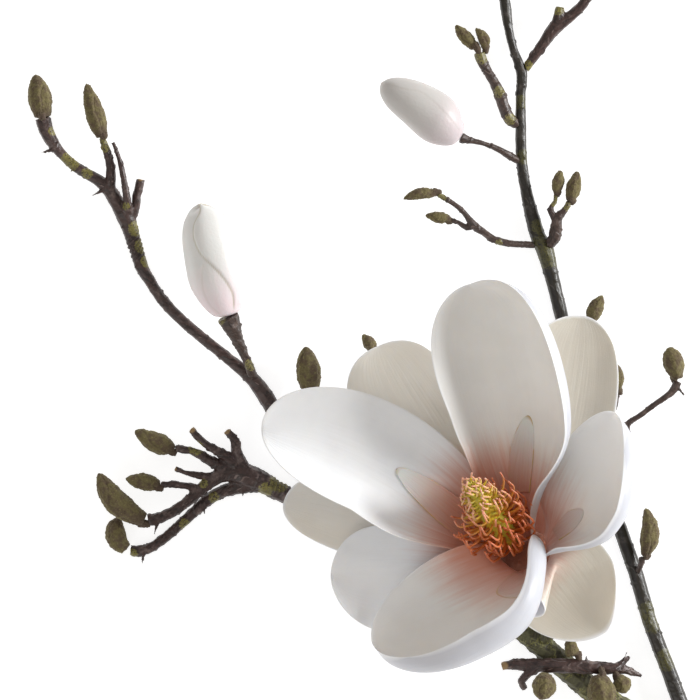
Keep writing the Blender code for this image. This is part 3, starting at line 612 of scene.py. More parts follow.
@dataclass
class Petal:
    """A cupped petal: a centre line, a width and a curled cross-section."""

    node: str
    ring: tuple[float, float]
    handle: tuple[float, float]
    far_handle: Place
    tip: Place
    widths: tuple[float, float]
    widest: float
    edges: tuple[tuple[float, float], tuple[float, float]]
    lean: Place
    claw: float = 0.28
    blunt: float = 2.2
    curl: tuple[float, float] = (1.0, 1.0)
    slot: str = "petal_white"
    skin: str = "white"
    wave: float = 0.25
    seed: float = 0.0
    rows: int = 46
    columns: int = 34

    def __post_init__(self) -> None:
        """Work out the foot and the centre line's handles."""
        angle, radius = self.ring
        reach, opening = self.handle
        slope = CONE_RISE / (CONE_FOOT - CONE_TOP)
        height = slope * (CONE_FOOT - radius + 0.5 * PETAL_WALL) + SPARE_GAP
        side = (math.cos(math.radians(angle)) * RING_EAST
                + math.sin(math.radians(angle)) * RING_UP)
        base = FLOWER_BASE + FLOWER_AXIS * height + side * radius
        start = (FLOWER_AXIS + opening * side).normalized()
        self.controls = (base, base + reach * start, Vector(self.far_handle),
                         Vector(self.tip))
        self.wrap = [min(width * self.claw / radius, 1.9) for width in self.widths]
        self.inward = (FLOWER_AXIS * opening - side).normalized()

    def centre(self, u: float) -> tuple[Vector, Vector]:
        """Point and direction of the centre line."""
        a, b, c, d = self.controls
        v = 1.0 - u
        point = a * v ** 3 + b * (3 * v * v * u) + c * (3 * v * u * u) + d * u ** 3
        along = (b - a) * (v * v) + (c - b) * (2 * v * u) + (d - c) * (u * u)
        return point, along.normalized()

    def fullness(self, u: float) -> float:
        """Share of the full width."""
        if u < self.widest:
            return self.claw + (1.0 - self.claw) * math.sin(0.5 * math.pi * u / self.widest)
        fall = (u - self.widest) / (1.0 - self.widest)
        return math.sqrt(max(1.0 - fall ** self.blunt, 0.0))

    def bend(self, u: float, half: int) -> float:
        """Turn of the cross-section from the middle to one edge."""
        middle, end = self.edges[half]
        if u < 0.22:
            return self.wrap[half] + (middle - self.wrap[half]) * u / 0.22
        if u < 0.6:
            return middle
        return middle + (end - middle) * (u - 0.6) / 0.4

    def section(self, u: float, reach: float, half: int) -> tuple[float, float, float]:
        """Way out, rise and turn of the cross-section at a share of the half width."""
        power = 1.0 + (self.curl[half] - 1.0) * smooth(0.0, 0.35, u)
        bend = self.bend(u, half)
        chord = reach / SECTION_STEPS
        out = up = 0.0
        for step in range(SECTION_STEPS):
            turn = bend * ((step + 0.5) * chord) ** power
            out += chord * math.cos(turn)
            up += chord * math.sin(turn)
        return out, up, bend * reach ** power

    def surface(self, u: float, v: float, lift: float = 0.0) -> Vector:
        """Plan point at u along and v across, lifted off the inner face."""
        point, along = self.centre(u)
        t = smooth(0.0, 0.45, u)
        hint = self.inward.lerp(Vector(self.lean).normalized(), t)
        normal = (hint - along * hint.dot(along)).normalized()
        side = along.cross(normal)
        half = 0 if v < 0.0 else 1
        sign = -1.0 if v < 0.0 else 1.0
        width = self.fullness(u) * self.widths[half]
        out, up, turn = self.section(u, abs(v), half)
        out, up = width * out, width * up
        facing = normal * math.cos(turn) - side * (sign * math.sin(turn))
        return point + side * (sign * out) + normal * up + facing * lift

    def unevenness(self, u: float, v: float) -> float:
        """Small rise and fall of a real petal, in millimetres."""
        soft = noise.noise(Vector((2.2 * u, 1.8 * v, self.seed)))
        rim = abs(v) ** 5 * math.sin(7.0 * u + 3.0 * self.seed + (2.0 if v < 0.0 else 0.0))
        folds = noise.noise(Vector((1.3 * u, 9.0 * v, 5.0 + self.seed))) * smooth(0.9, 0.15, u)
        return self.wave * (1.3 * soft + rim + 0.55 * folds)

    def build(self, inside: bpy.types.Material,
              outside: bpy.types.Material) -> bpy.types.Object:
        """The petal's object.

        Args:
            inside: skin of the face that looks at the flower's heart.
            outside: skin of its back.
        """
        bm = bmesh.new()
        bmesh.ops.create_grid(bm, x_segments=self.columns, y_segments=self.rows, size=1.0)
        layers = float_layers(bm, "along", "across", "rim")
        wall = bm.verts.layers.deform.new()
        for vert in bm.verts:
            x, y = vert.co.x, vert.co.y
            u, v = round_sheet(x, y, self.widest)
            rim = max(abs(x), y)
            vert[layers["along"]] = u
            vert[layers["across"]] = v
            vert[layers["rim"]] = smooth(0.955, 1.0, rim)
            vert[wall][0] = 1.0 - 0.5 * smooth(0.8, 1.0, rim)
            vert.co = plan(*self.surface(u, v, self.unevenness(u, v)))
        piece = object_from(bm, f"{self.node}_fine")
        piece.vertex_groups.new(name="wall")
        shell = thicken(piece, PETAL_WALL)
        shell.vertex_group = "wall"
        shell.thickness_vertex_group = 0.0
        shell.material_offset = 1
        shell.material_offset_rim = 0
        return finish_piece(piece, self.slot, (self.node,), inside, outside)


@dataclass
class InnerPetal:
    """A small inner petal that lies along a large one."""

    node: str
    carrier: Petal
    foot: float
    tip: float
    across: float
    half_width: float
    lift: float
    wall: float = 0.6

    def build(self, skin: bpy.types.Material) -> bpy.types.Object:
        """The inner petal's object."""
        bm = bmesh.new()
        bmesh.ops.create_grid(bm, x_segments=18, y_segments=26, size=1.0)
        layers = float_layers(bm, "along", "across", "rim")
        for vert in bm.verts:
            x, y = vert.co.x, vert.co.y
            u, v = round_sheet(x, y, 0.25)
            fall = max(u - 0.25, 0.0) / 0.75
            reach = self.half_width * math.sqrt(max(1.0 - fall ** 1.6, 0.0))
            place = self.foot + (self.tip - self.foot) * u
            middle = self.across * u
            width = (self.carrier.fullness(place)
                     * self.carrier.widths[0 if middle < 0.0 else 1])
            vert[layers["along"]] = u
            vert[layers["across"]] = v
            vert[layers["rim"]] = smooth(0.95, 1.0, max(abs(x), y))
            vert.co = plan(*self.carrier.surface(place, middle + v * reach / width, self.lift))
        piece = object_from(bm, f"{self.node}_fine")
        thicken(piece, self.wall)
        return finish_piece(piece, "tongue_blush", (self.node,), skin)


@dataclass
class StamenHeart:
    """The cone of stamens: a knobbly core and its curled filaments.

    The filaments' reach, rise and thickness are each the value at the crown and
    what is added low down.
    """

    node: str = "stamen_cone"
    core: tuple[tuple[float, float], ...] = (
        (4.4, 3.0), (10.0, 3.6), (16.0, 4.2), (24.0, 4.7), (32.0, 4.4), (40.0, 3.6),
        (46.0, 2.5), (50.0, 1.4))
    filaments: int = 190
    lowest: float = 11.0
    highest: float = 48.5
    reach: tuple[float, float] = (4.4, 8.2)
    rise: tuple[float, float] = (3.4, 5.2)
    thickness: tuple[float, float] = (0.52, 0.04)
    sides: int = 6
    steps: int = 8
    seed: int = 7

    def core_radius(self, height: float) -> float:
        """Radius of the core at a height."""
        return eased_table(self.core, height)

    def _ring(self, angle: float) -> Vector:
        """Direction away from the axis; angle 0 points at the sky side."""
        east = STAMEN_AXIS.cross(Vector((0.0, 0.0, 1.0))).normalized()
        return math.sin(angle) * east + math.cos(angle) * east.cross(STAMEN_AXIS)

    def _core(self, bm: bmesh.types.BMesh, low: object, tip: object) -> None:
        """The core, a sphere drawn out along the axis and knobbled."""
        made = bmesh.ops.create_uvsphere(bm, u_segments=72, v_segments=80, radius=1.0)
        start, end = self.core[0][0], self.core[-1][0] + 0.8
        for vert in made["verts"]:
            share = 0.5 + 0.5 * vert.co.z
            angle = math.atan2(vert.co.y, vert.co.x)
            height = start + (end - start) * share
            cap = math.sqrt(max(1.0 - (2.0 * share - 1.0) ** 8, 0.0))
            knobs = 0.55 * noise.noise(Vector((3.4 * math.cos(angle), 3.4 * math.sin(angle),
                                               0.8 * height)))
            radius = (self.core_radius(height) + knobs) * cap
            vert.co = plan(*(FLOWER_BASE + STAMEN_AXIS * height + self._ring(angle) * radius))
            vert[low] = 1.0 - smooth(7.0, 20.0, height)
            vert[tip] = 0.0

    def _filament(self, bm: bmesh.types.BMesh, low: object, tip: object,
                  dice: random.Random, share: float, angle: float) -> None:
        """One curled filament: its curve, drawn as a tube."""
        height = self.lowest + (self.highest - self.lowest) * share
        lowness = 1.0 - smooth(0.30, 0.80, share)
        crown = smooth(0.86, 1.0, share)
        side = self._ring(angle)
        cross = STAMEN_AXIS.cross(side)
        reach = self.reach[0] + self.reach[1] * lowness
        reach *= dice.uniform(0.6, 1.2) * (1.0 - 0.45 * crown)
        rise = (self.rise[0] + self.rise[1] * lowness) * dice.uniform(0.6, 1.35)
        curl = dice.uniform(0.3, 1.2)
        sway = dice.uniform(-3.4, 3.4)
        root = FLOWER_BASE + STAMEN_AXIS * height + side * (self.core_radius(height) - 0.7)
        points = []
        for step in range(self.steps + 1):
            t = step / self.steps
            out = reach * math.sin(0.5 * math.pi * t) - curl * 2.6 * smooth(0.6, 1.0, t)
            up = rise * t ** 1.6 + curl * 0.8 * smooth(0.6, 1.0, t)
            points.append(root + side * out + STAMEN_AXIS * up + cross * (sway * t * t))
        self._tube(bm, low, tip, points, lowness)

    def _tube(self, bm: bmesh.types.BMesh, low: object, tip: object,
              points: list[Vector], lowness: float) -> None:
        """A closed tube along some points, thinner towards its end."""
        thick = self.thickness[0] + self.thickness[1] * lowness
        rings = []
        for step, point in enumerate(points):
            t = step / self.steps
            ahead = points[min(step + 1, self.steps)] - points[max(step - 1, 0)]
            turn = ahead.to_track_quat("Z", "Y").to_matrix().to_4x4()
            radius = thick * (1.0 - 0.35 * t ** 2)
            made = bmesh.ops.create_circle(bm, segments=self.sides, radius=radius * MM,
                                           matrix=Matrix.Translation(plan(*point)) @ turn)
            for vert in made["verts"]:
                vert[low] = lowness
                vert[tip] = t
            rings.append(made["verts"])
        edges = [edge for ring in rings for edge in {e for v in ring for e in v.link_edges}]
        bmesh.ops.bridge_loops(bm, edges=edges)
        for ring in (rings[0], rings[-1]):
            bmesh.ops.contextual_create(bm, geom=ring)

    def build(self, skin: bpy.types.Material) -> bpy.types.Object:
        """The stamens' object."""
        dice = random.Random(self.seed)
        bm = bmesh.new()
        low = bm.verts.layers.float.new("low")
        tip = bm.verts.layers.float.new("tip")
        self._core(bm, low, tip)
        golden = math.pi * (3.0 - math.sqrt(5.0))
        for number in range(self.filaments):
            share = (number / (self.filaments - 1)) ** 1.1
            self._filament(bm, low, tip, dice, share, golden * number + dice.uniform(-0.2, 0.2))
        bmesh.ops.recalc_face_normals(bm, faces=bm.faces)
        piece = object_from(bm, "stamens_fine")
        return finish_piece(piece, "stamen_yellow", (self.node,), skin)


@dataclass
class Flower:
    """The open flower with its petals, inner petals, stamens and receptacle."""

    # Each petal's skin below is a lit or shaded copy of one white skin, chosen by how the light
    # falls on that petal: painted light or painted shade.
    petals: list[Petal] = field(default_factory=lambda: [
        Petal("petal_left", (-119, 9.0), (27.4, 0.83), (-1.0, -31.0, 33), (-35.2, -31.6, 34),
              (28.4, 25.6), 0.56, ((1.42, 0.5), (0.25, 0.5)), (-0.8, 0.45, 1), claw=0.2,
              blunt=2.1, skin="lit_white", seed=1.0),
        Petal("petal_top", (-50, 6.4), (44.1, 1.57), (58.9, -18.0, 47.4), (47.5, 26.2, 38.0),
              (25.3, 45.2), 0.65, ((0.88, 0.05), (2.44, 2.39)), (0.48, -1.45, 1), claw=0.24,
              blunt=2.67, curl=(1.0, 1.5), seed=2.0),
        Petal("petal_right", (18.6, 10.2), (16.8, 1.38), (89.1, -60.4, 30.0),
              (104.8, -24.6, 34.0), (15.4, 41.0), 0.64, ((0.05, 0.05), (2.28, 2.7)),
              (-0.65, -0.37, 1), claw=0.18, blunt=2.17, curl=(1.0, 2.0), seed=3.0),
        Petal("petal_front", (88.9, 7.7), (19.2, 1.4), (45.0, -109.4, 32.8),
              (8.5, -115.7, 35.9), (45.4, 26.3), 0.58, ((2.9, 2.36), (0.88, 0.05)),
              (-0.47, 0.45, 1), claw=0.21, blunt=2.15, curl=(2.0, 1.0), seed=4.0),
        Petal("petal_back_left", (-98, 11.5), (16, 0.7), (20, -18, 26), (12, 2, 16), (26, 22),
              0.6, ((0.5, 0.3), (0.5, 0.3)), (0, 0, 1), claw=0.2, slot="petal_cream",
              skin="half_shade", seed=5.0),
        Petal("petal_back_right", (-18, 11.5), (14, 1.3), (90, -14, 13), (93, 14, 13),
              (24, 20), 0.6, ((0.4, 0.3), (0.5, 0.4)), (0, 0, 1), claw=0.2, slot="petal_cream",
              skin="deep_shade", seed=6.0),
        Petal("petal_low_right", (65.7, 11.5), (13.4, 2.06), (83.3, -85.9, 15.7),
              (101.5, -112.6, 28.3), (19.9, 26.0), 0.45, ((0.22, 0.92), (0.15, 0.4)),
              (-0.2, 0.0, 1), claw=0.26, blunt=3.21, slot="petal_cream", skin="deep_shade",
              seed=7.0),
        Petal("petal_low_left", (-178, 11.5), (12.2, 1.06), (10.1, -90.9, 17.6),
              (-7.8, -89.5, 18.1), (22.4, 20.6), 0.69, ((0.05, 1.41), (0.35, 0.05)),
              (0.07, 0.05, 1), claw=0.19, blunt=1.8, slot="petal_cream", skin="lit_white",
              seed=8.0),
        Petal("petal_far_left", (-145, 12.8), (14, 1.2), (0, -67, 10), (-27, -62, 10),
              (14, 20), 0.6, ((0.4, 0.3), (0.3, 0.3)), (0, 0, 1), claw=0.22,
              slot="petal_cream", skin="half_shade", seed=9.0),
    ])
    # Node, large petal, then foot and tip along it, place across, half width and lift.
    inner: tuple[tuple[str, str, float, float, float, float, float], ...] = (
        ("tongue_left", "petal_left", 0.16, 0.51, 0.12, 6.6, 0.64),
        ("tongue_top", "petal_top", 0.16, 0.47, 0.22, 6.0, 0.64),
        ("tongue_right", "petal_right", 0.16, 0.49, 0.12, 5.0, 0.64),
        ("tongue_front", "petal_front", 0.18, 0.45, 0.05, 5.0, 0.66),
    )

    def build_receptacle(self, skin: bpy.types.Material) -> None:
        """The receptacle: its CAD solid, rounded and roughened."""
        bm = voxel_skin(cad_copy("receptacle"), 0.45)
        relax(bm, 4)
        bm.normal_update()
        for vert in bm.verts:
            vert.co += vert.normal * (0.25 * MM * noise.fractal(vert.co * 900.0, 1.0, 2.0, 3))
        finish_piece(object_from(bm, "receptacle_fine"), "receptacle_green", ("receptacle",),
                     skin)

    def build(self) -> None:
        """Every piece of the flower."""
        # Brown-pink of the petals' claws: their own pink, darkened as painted shade of the flower's
        # throat.
        pink_and_shade = (0.62, 0.27, 0.185)
        rim = (0.92, 0.91, 0.90)
        insides = {
            # Painted light: the white skin made lighter for the petals that face the key light.
            "lit_white": PetalSkin("petal_lit_white", (0.94, 0.945, 0.955), rim, pink_and_shade).make(),
            "white": PetalSkin("petal_white", (0.86, 0.845, 0.82), rim, pink_and_shade).make(),
            # Painted shade: the white skin made darker and warmer for the petals that lie in shadow
            # under the others.
            "half_shade": PetalSkin("petal_half_shade", (0.83, 0.79, 0.72), rim, pink_and_shade).make(),
            "deep_shade": PetalSkin("petal_cream", (0.66, 0.62, 0.54), rim, pink_and_shade).make(),
        }
        outside = PetalSkin("petal_back", (0.60, 0.61, 0.655), (0.90, 0.90, 0.91),
                            (0.64, 0.50, 0.46), pink_and_shade_end=24.0).make()
        carriers = {}
        for petal in self.petals:
            petal.build(insides[petal.skin], outside)
            carriers[petal.node] = petal
        ochre = TongueSkin("inner_petal", (0.84, 0.82, 0.79), (0.66, 0.44, 0.18), pink_and_shade).make()
        for node, carrier, *sizes in self.inner:
            InnerPetal(node, carriers[carrier], *sizes).build(ochre)
        StamenHeart().build(StamenSkin("stamens").make())
        self.build_receptacle(ReceptacleSkin("receptacle", (0.34, 0.13, 0.075),
                                             (0.12, 0.12, 0.035)).make())


# ---------------------------------------------------------------- white buds


@dataclass
class WhiteBud:
    """A closed white flower bud of overlapping petals."""

    node: str
    base: Place
    tip: Place
    radius: float
    foot: float
    widest: float
    shoulder: float
    crown: float
    point: float
    seam: tuple[tuple[float, float], ...]
    bow: Place = (0.0, 0.0, 0.0)
    step: float = 0.5
    second: tuple[tuple[float, float], ...] = ()
    notch: float = 0.0
    ink: float = 0.8

    def profile(self, t: float) -> float:
        """Radius at a share of the length."""
        if t < self.widest:
            rise = math.sin(0.5 * math.pi * t / self.widest) ** self.shoulder
            return self.foot + (self.radius - self.foot) * rise
        fall = (t - self.widest) / (1.0 - self.widest)
        taper = (1.0 - self.point) * (1.0 - fall ** self.crown) ** 0.7
        return self.radius * (taper + self.point * math.sqrt(max(1.0 - fall ** 8, 0.0)))

    def build(self, skin: bpy.types.Material) -> bpy.types.Object:
        """The bud's object."""
        base, tip, bow = Vector(self.base), Vector(self.tip), Vector(self.bow)
        axis = (tip - base).normalized()
        right = axis.cross(Vector((0.0, 0.0, 1.0))).normalized()
        front = right.cross(axis)
        bm = bmesh.new()
        layers = float_layers(bm, "along", "across", "seam")
        bmesh.ops.create_uvsphere(bm, u_segments=144, v_segments=110, radius=1.0)
        for vert in bm.verts:
            t = 0.5 + math.asin(max(-1.0, min(1.0, vert.co.z))) / math.pi
            t = 0.5 - 0.5 * math.cos(math.pi * t)
            angle = math.atan2(vert.co.x, vert.co.y)
            closing = min(1.0, math.sqrt(max(1.0 - (2.0 * t - 1.0) ** 40, 0.0)))
            radius = self.profile(t) * closing
            layer, mark = self.overlap(t, angle, radius)
            vert[layers["along"]] = t
            vert[layers["across"]] = angle
            vert[layers["seam"]] = mark
            soft = 0.35 * noise.noise(Vector((1.4 * math.sin(angle), 1.4 * math.cos(angle),
                                              3.2 * t + self.radius)))
            radius = max(radius + (layer + soft) * closing * smooth(0.0, 0.1, t), 0.0)
            middle = base.lerp(tip, t) + bow * math.sin(math.pi * t)
            dent = self.notch * smooth(0.93, 1.0, t) * math.sin(3.0 * angle + 0.6)
            place = (middle + right * (radius * math.sin(angle))
                     + front * (radius * math.cos(angle)) + axis * dent)
            vert.co = plan(*place)
        bmesh.ops.recalc_face_normals(bm, faces=bm.faces)
        piece = object_from(bm, f"{self.node}_fine")
        return finish_piece(piece, "bud_white", (self.node,), skin)

    def overlap(self, t: float, angle: float, radius: float) -> tuple[float, float]:
        """Rise of the overlapping petals at a place, and how near an edge it is.

        Args:
            t: share of the length.
            angle: turn about the axis, 0 on the upper side.
            radius: the bud's own radius there.
        """
        offset = curve_through(self.seam, t)
        edge = math.asin(max(-0.95, min(0.95, offset / max(radius, 1.0))))
        third = 2.0 * math.pi / 3.0
        share = ((angle - edge) / third) % 1.0
        away = min(share, 1.0 - share) * third * radius
        rise = self.step * (1.0 - share) * smooth(0.0, 0.045, share)
        rise *= smooth(0.0, 0.12, t)
        mark = self.ink * smooth(0.5, 0.05, away) * smooth(0.02, 0.1, t)
        if self.second and t < self.second[-1][0]:
            ridge = math.asin(max(-0.95, min(0.95, curve_through(self.second, t)
                                                 / max(radius, 1.0))))
            gap = (ridge - angle) * radius
            rise += 0.4 * self.step * smooth(0.0, 0.7, gap) * smooth(9.0, 2.0, gap)
            mark = max(mark, 0.2 * smooth(0.5, 0.1, abs(gap)))
        return rise, mark


# ---------------------------------------------------------------- green buds


@dataclass
class GreenBud:
    """A downy winter bud, its CAD solid with scales and down."""

    node: str
    voxel: float = 0.27
    fuzz: float = 0.20
    lumps: float = 0.30
    scale_step: float = 0.30
    neck_sunk: float = 1.2
    neck_rooted: float = 0.7
    neck_radii: tuple[float, float] = (1.5, 1.1)
    longest_neck: float = 9.0

    def axis(self, bm: bmesh.types.BMesh) -> tuple[Vector, Vector, float]:
        """Foot, direction and length, from the two farthest places of the solid."""
        verts = list(bm.verts)
        middle = sum((v.co for v in verts), Vector()) / len(verts)
        one = max(verts, key=lambda v: (v.co - middle).length).co.copy()
        other = max(verts, key=lambda v: (v.co - one).length).co.copy()
        spread = [0.0, 0.0]
        along = (other - one).normalized()
        for vert in verts:
            share = (vert.co - one).dot(along) / (other - one).length
            away = ((vert.co - one) - along * (vert.co - one).dot(along)).length
            if share < 0.12:
                spread[0] = max(spread[0], away)
            if share > 0.88:
                spread[1] = max(spread[1], away)
        foot, tip = (one, other) if spread[0] > spread[1] else (other, one)
        return foot, (tip - foot).normalized(), (tip - foot).length

    def add_neck(self, bm: bmesh.types.BMesh, foot: Vector, along: Vector,
                 wood: BVHTree) -> None:
        """A tapered neck from the bud's foot to the nearest wood."""
        start = foot + along * (self.neck_sunk * MM)
        end = wood.find_nearest(foot)[0]
        end += (end - start).normalized() * (self.neck_rooted * MM)
        span = end - start
        LOG.info("%s: neck of %.1f mm", self.node, span.length / MM)
        if span.length < self.longest_neck * MM:
            turn = span.to_track_quat("Z", "Y").to_matrix().to_4x4()
            wide, narrow = self.neck_radii
            bmesh.ops.create_cone(bm, cap_ends=True, segments=20, radius1=wide * MM,
                                  radius2=narrow * MM, depth=span.length,
                                  matrix=Matrix.Translation(start.lerp(end, 0.5)) @ turn)

    def build(self, skin: bpy.types.Material, wood: BVHTree) -> bpy.types.Object:
        """The bud's object."""
        dice = random.Random(self.node)
        bm = cad_copy(self.node)
        foot, along, length = self.axis(bm)
        self.add_neck(bm, foot, along, wood)
        bm = voxel_skin(bm, self.voxel)
        relax(bm, 3)
        side = along.orthogonal().normalized()
        across = along.cross(side)
        turn = dice.uniform(0.0, 2.0 * math.pi)
        layers = float_layers(bm, "along", "seam")
        bm.normal_update()
        for vert in bm.verts:
            rel = vert.co - foot
            t = rel.dot(along) / length
            angle = math.atan2(rel.dot(side), rel.dot(across)) + turn
            swing = angle + 1.6 * t + 0.25 * math.sin(9.0 * t)
            share = (swing / math.pi) % 1.0
            keel = smooth(0.075, 0.0, min(share, 1.0 - share)) * smooth(0.02, 0.15, t)
            place = vert.co / MM
            lump = noise.fractal(place * 0.45, 1.0, 2.0, 3)
            grit = noise.noise(place * 2.1)
            step = self.scale_step * (1.0 - share) * smooth(0.0, 0.05, share) * smooth(0.98, 0.6, t)
            vert[layers["along"]] = t
            vert[layers["seam"]] = keel
            vert.co += vert.normal * MM * (self.lumps * lump + self.fuzz * grit
                                           + step - 0.2 * keel)
        piece = object_from(bm, f"{self.node}_fine")
        return finish_piece(piece, "bud_down", (self.node,), skin)


# ---------------------------------------------------------------- stems


BARK_FLOW = Vector((0.31, 0.23, 0.19))
RING_PITCH = 1.9
RING_HEIGHT = 0.28


@dataclass(frozen=True)
class Thorn:
    """A short pointed spur: where it starts and where it points, on the plan."""

    foot: tuple[float, float]
    point: tuple[float, float]
    width: float = 1.3


@dataclass
class Stem:
    """A woody piece: its CAD solid remade with bark, scars, moss and spurs."""

    node: str
    bark: Bark
    slot: str
    grows_from: str | None = None
    thorns: tuple[Thorn, ...] = ()
    moss: tuple[Spot, ...] = ()
    cuts: tuple[Spot, ...] = ()
    rings: tuple[Spot, ...] = ()
    scar_gap: float = 11.0
    wrinkles: float = 0.16
    knobs: float = 0.35
    voxel: float = 0.42

    def _add_thorns(self, bm: bmesh.types.BMesh) -> None:
        """Cones for the spurs, each standing in the stem's middle."""
        tree = BVHTree.FromBMesh(bm)
        for thorn in self.thorns:
            above = plan(*thorn.foot, 60.0)
            hit, _, _, _ = tree.ray_cast(above, Vector((0.0, 0.0, -1.0)))
            if hit is None:
                hit = tree.find_nearest(plan(*thorn.foot, 5.0))[0]
            start = plan(*thorn.foot, 0.0)
            start.z = hit.z - 1.2 * MM
            end = plan(*thorn.point, 0.0)
            end.z = start.z + 0.6 * MM
            length = (end - start).length
            turn = (end - start).to_track_quat("Z", "Y").to_matrix().to_4x4()
            bmesh.ops.create_cone(
                bm, cap_ends=True, segments=12, radius1=thorn.width * MM,
                radius2=0.25 * MM, depth=length,
                matrix=Matrix.Translation(start.lerp(end, 0.5)) @ turn)

    def _distances(self, bm: bmesh.types.BMesh) -> list[float]:
        """Distance of each point from the piece's foot, over its skin, in mm."""
        bm.verts.ensure_lookup_table()
        if self.grows_from is None:
            foot = min(bm.verts, key=lambda v: v.co.y)
        else:
            parent = cad_copy(self.grows_from)
            tree = BVHTree.FromBMesh(parent)
            foot = min(bm.verts, key=lambda v: tree.find_nearest(v.co)[3])
            parent.free()
        far = [math.inf] * len(bm.verts)
        far[foot.index] = 0.0
        queue = [(0.0, foot.index)]
        while queue:
            distance, index = heapq.heappop(queue)
            if distance > far[index]:
                continue
            for edge in bm.verts[index].link_edges:
                other = edge.other_vert(bm.verts[index])
                reached = distance + edge.calc_length() / MM
                if reached < far[other.index]:
                    far[other.index] = reached
                    heapq.heappush(queue, (reached, other.index))
        return far

    def _scars(self, longest: float) -> list[tuple[float, float, float]]:
        """Ring scars along the piece: distance, height and half width."""
        dice = random.Random(self.node)
        scars = []
        at = dice.uniform(4.0, self.scar_gap)
        while at < longest:
            scars.append((at, dice.uniform(0.06, 0.28), dice.uniform(0.3, 0.6)))
            at += dice.uniform(0.45, 1.55) * self.scar_gap
        return scars

    @staticmethod
    def _scar_at(scars: list[tuple[float, float, float]], distance: float,
                 normal: Vector) -> tuple[float, float]:
        """Rise of the ring scars at a place, and how far it is in a groove."""
        rise = scar = 0.0
        for at, height, half in scars:
            wobble = distance - at + 0.7 * noise.noise(normal * 1.7 + BARK_FLOW * at)
            if abs(wobble) < 4.0 * half:
                groove = math.exp(-((wobble - 1.5 * half) / (0.6 * half)) ** 2)
                rise += height * (math.exp(-(wobble / half) ** 2) - 0.5 * groove)
                scar = max(scar, groove * min(1.0, 2.4 * height))
        return rise, scar

    @staticmethod
    def _nearness(place: Vector, spots: tuple[Spot, ...]) -> float:
        """How far a place is inside any of some plan spots (x, y, radius), 0 to 1."""
        found = 0.0
        for x, y, radius in spots:
            away = math.hypot(place.x - x, place.y - y)
            found = max(found, smooth(radius, 0.55 * radius, away))
        return found

    def build(self, skin: bpy.types.Material) -> bpy.types.Object:
        """The piece's object."""
        bm = cad_copy(self.node)
        self._add_thorns(bm)
        bm = voxel_skin(bm, self.voxel)
        relax(bm, 4)
        far = self._distances(bm)
        scars = self._scars(max(d for d in far if d < math.inf))
        bm.normal_update()
        grain = bm.verts.layers.float_vector.new("grain")
        layers = float_layers(bm, "moss", "scar", "cut")
        moves = []
        for vert in bm.verts:
            distance = min(far[vert.index], 1e4)
            place = vert.co / MM + PLAN_ORIGIN
            marks = vert.normal * 2.6 + BARK_FLOW * distance
            rise = self.wrinkles * noise.fractal(marks * 0.8, 1.0, 2.0, 3)
            rise += 0.6 * self.wrinkles * noise.noise(place * 0.33)
            ridge, scar = self._scar_at(scars, distance, vert.normal)
            ringed = self._nearness(place, self.rings)
            wave = math.sin(2.0 * math.pi * distance / RING_PITCH)
            rise += ridge + ringed * RING_HEIGHT * wave
            knob = noise.noise(vert.normal * 1.3 + BARK_FLOW * (1.4 * distance)
                               + Vector((9, 4, 2)))
            rise += self.knobs * smooth(0.46, 0.66, knob)
            vert[grain] = marks
            vert[layers["moss"]] = self._nearness(place, self.moss)
            vert[layers["scar"]] = max(scar * 0.7, 0.5 * ringed * smooth(0.2, -0.9, wave))
            vert[layers["cut"]] = self._nearness(place, self.cuts)
            moves.append(vert.normal * (rise * MM))
        for vert, move in zip(bm.verts, moves):
            vert.co += move
            vert.co.z = max(vert.co.z, 0.0)
        piece = object_from(bm, f"{self.node}_fine")
        return finish_piece(piece, self.slot, (self.node,), skin)


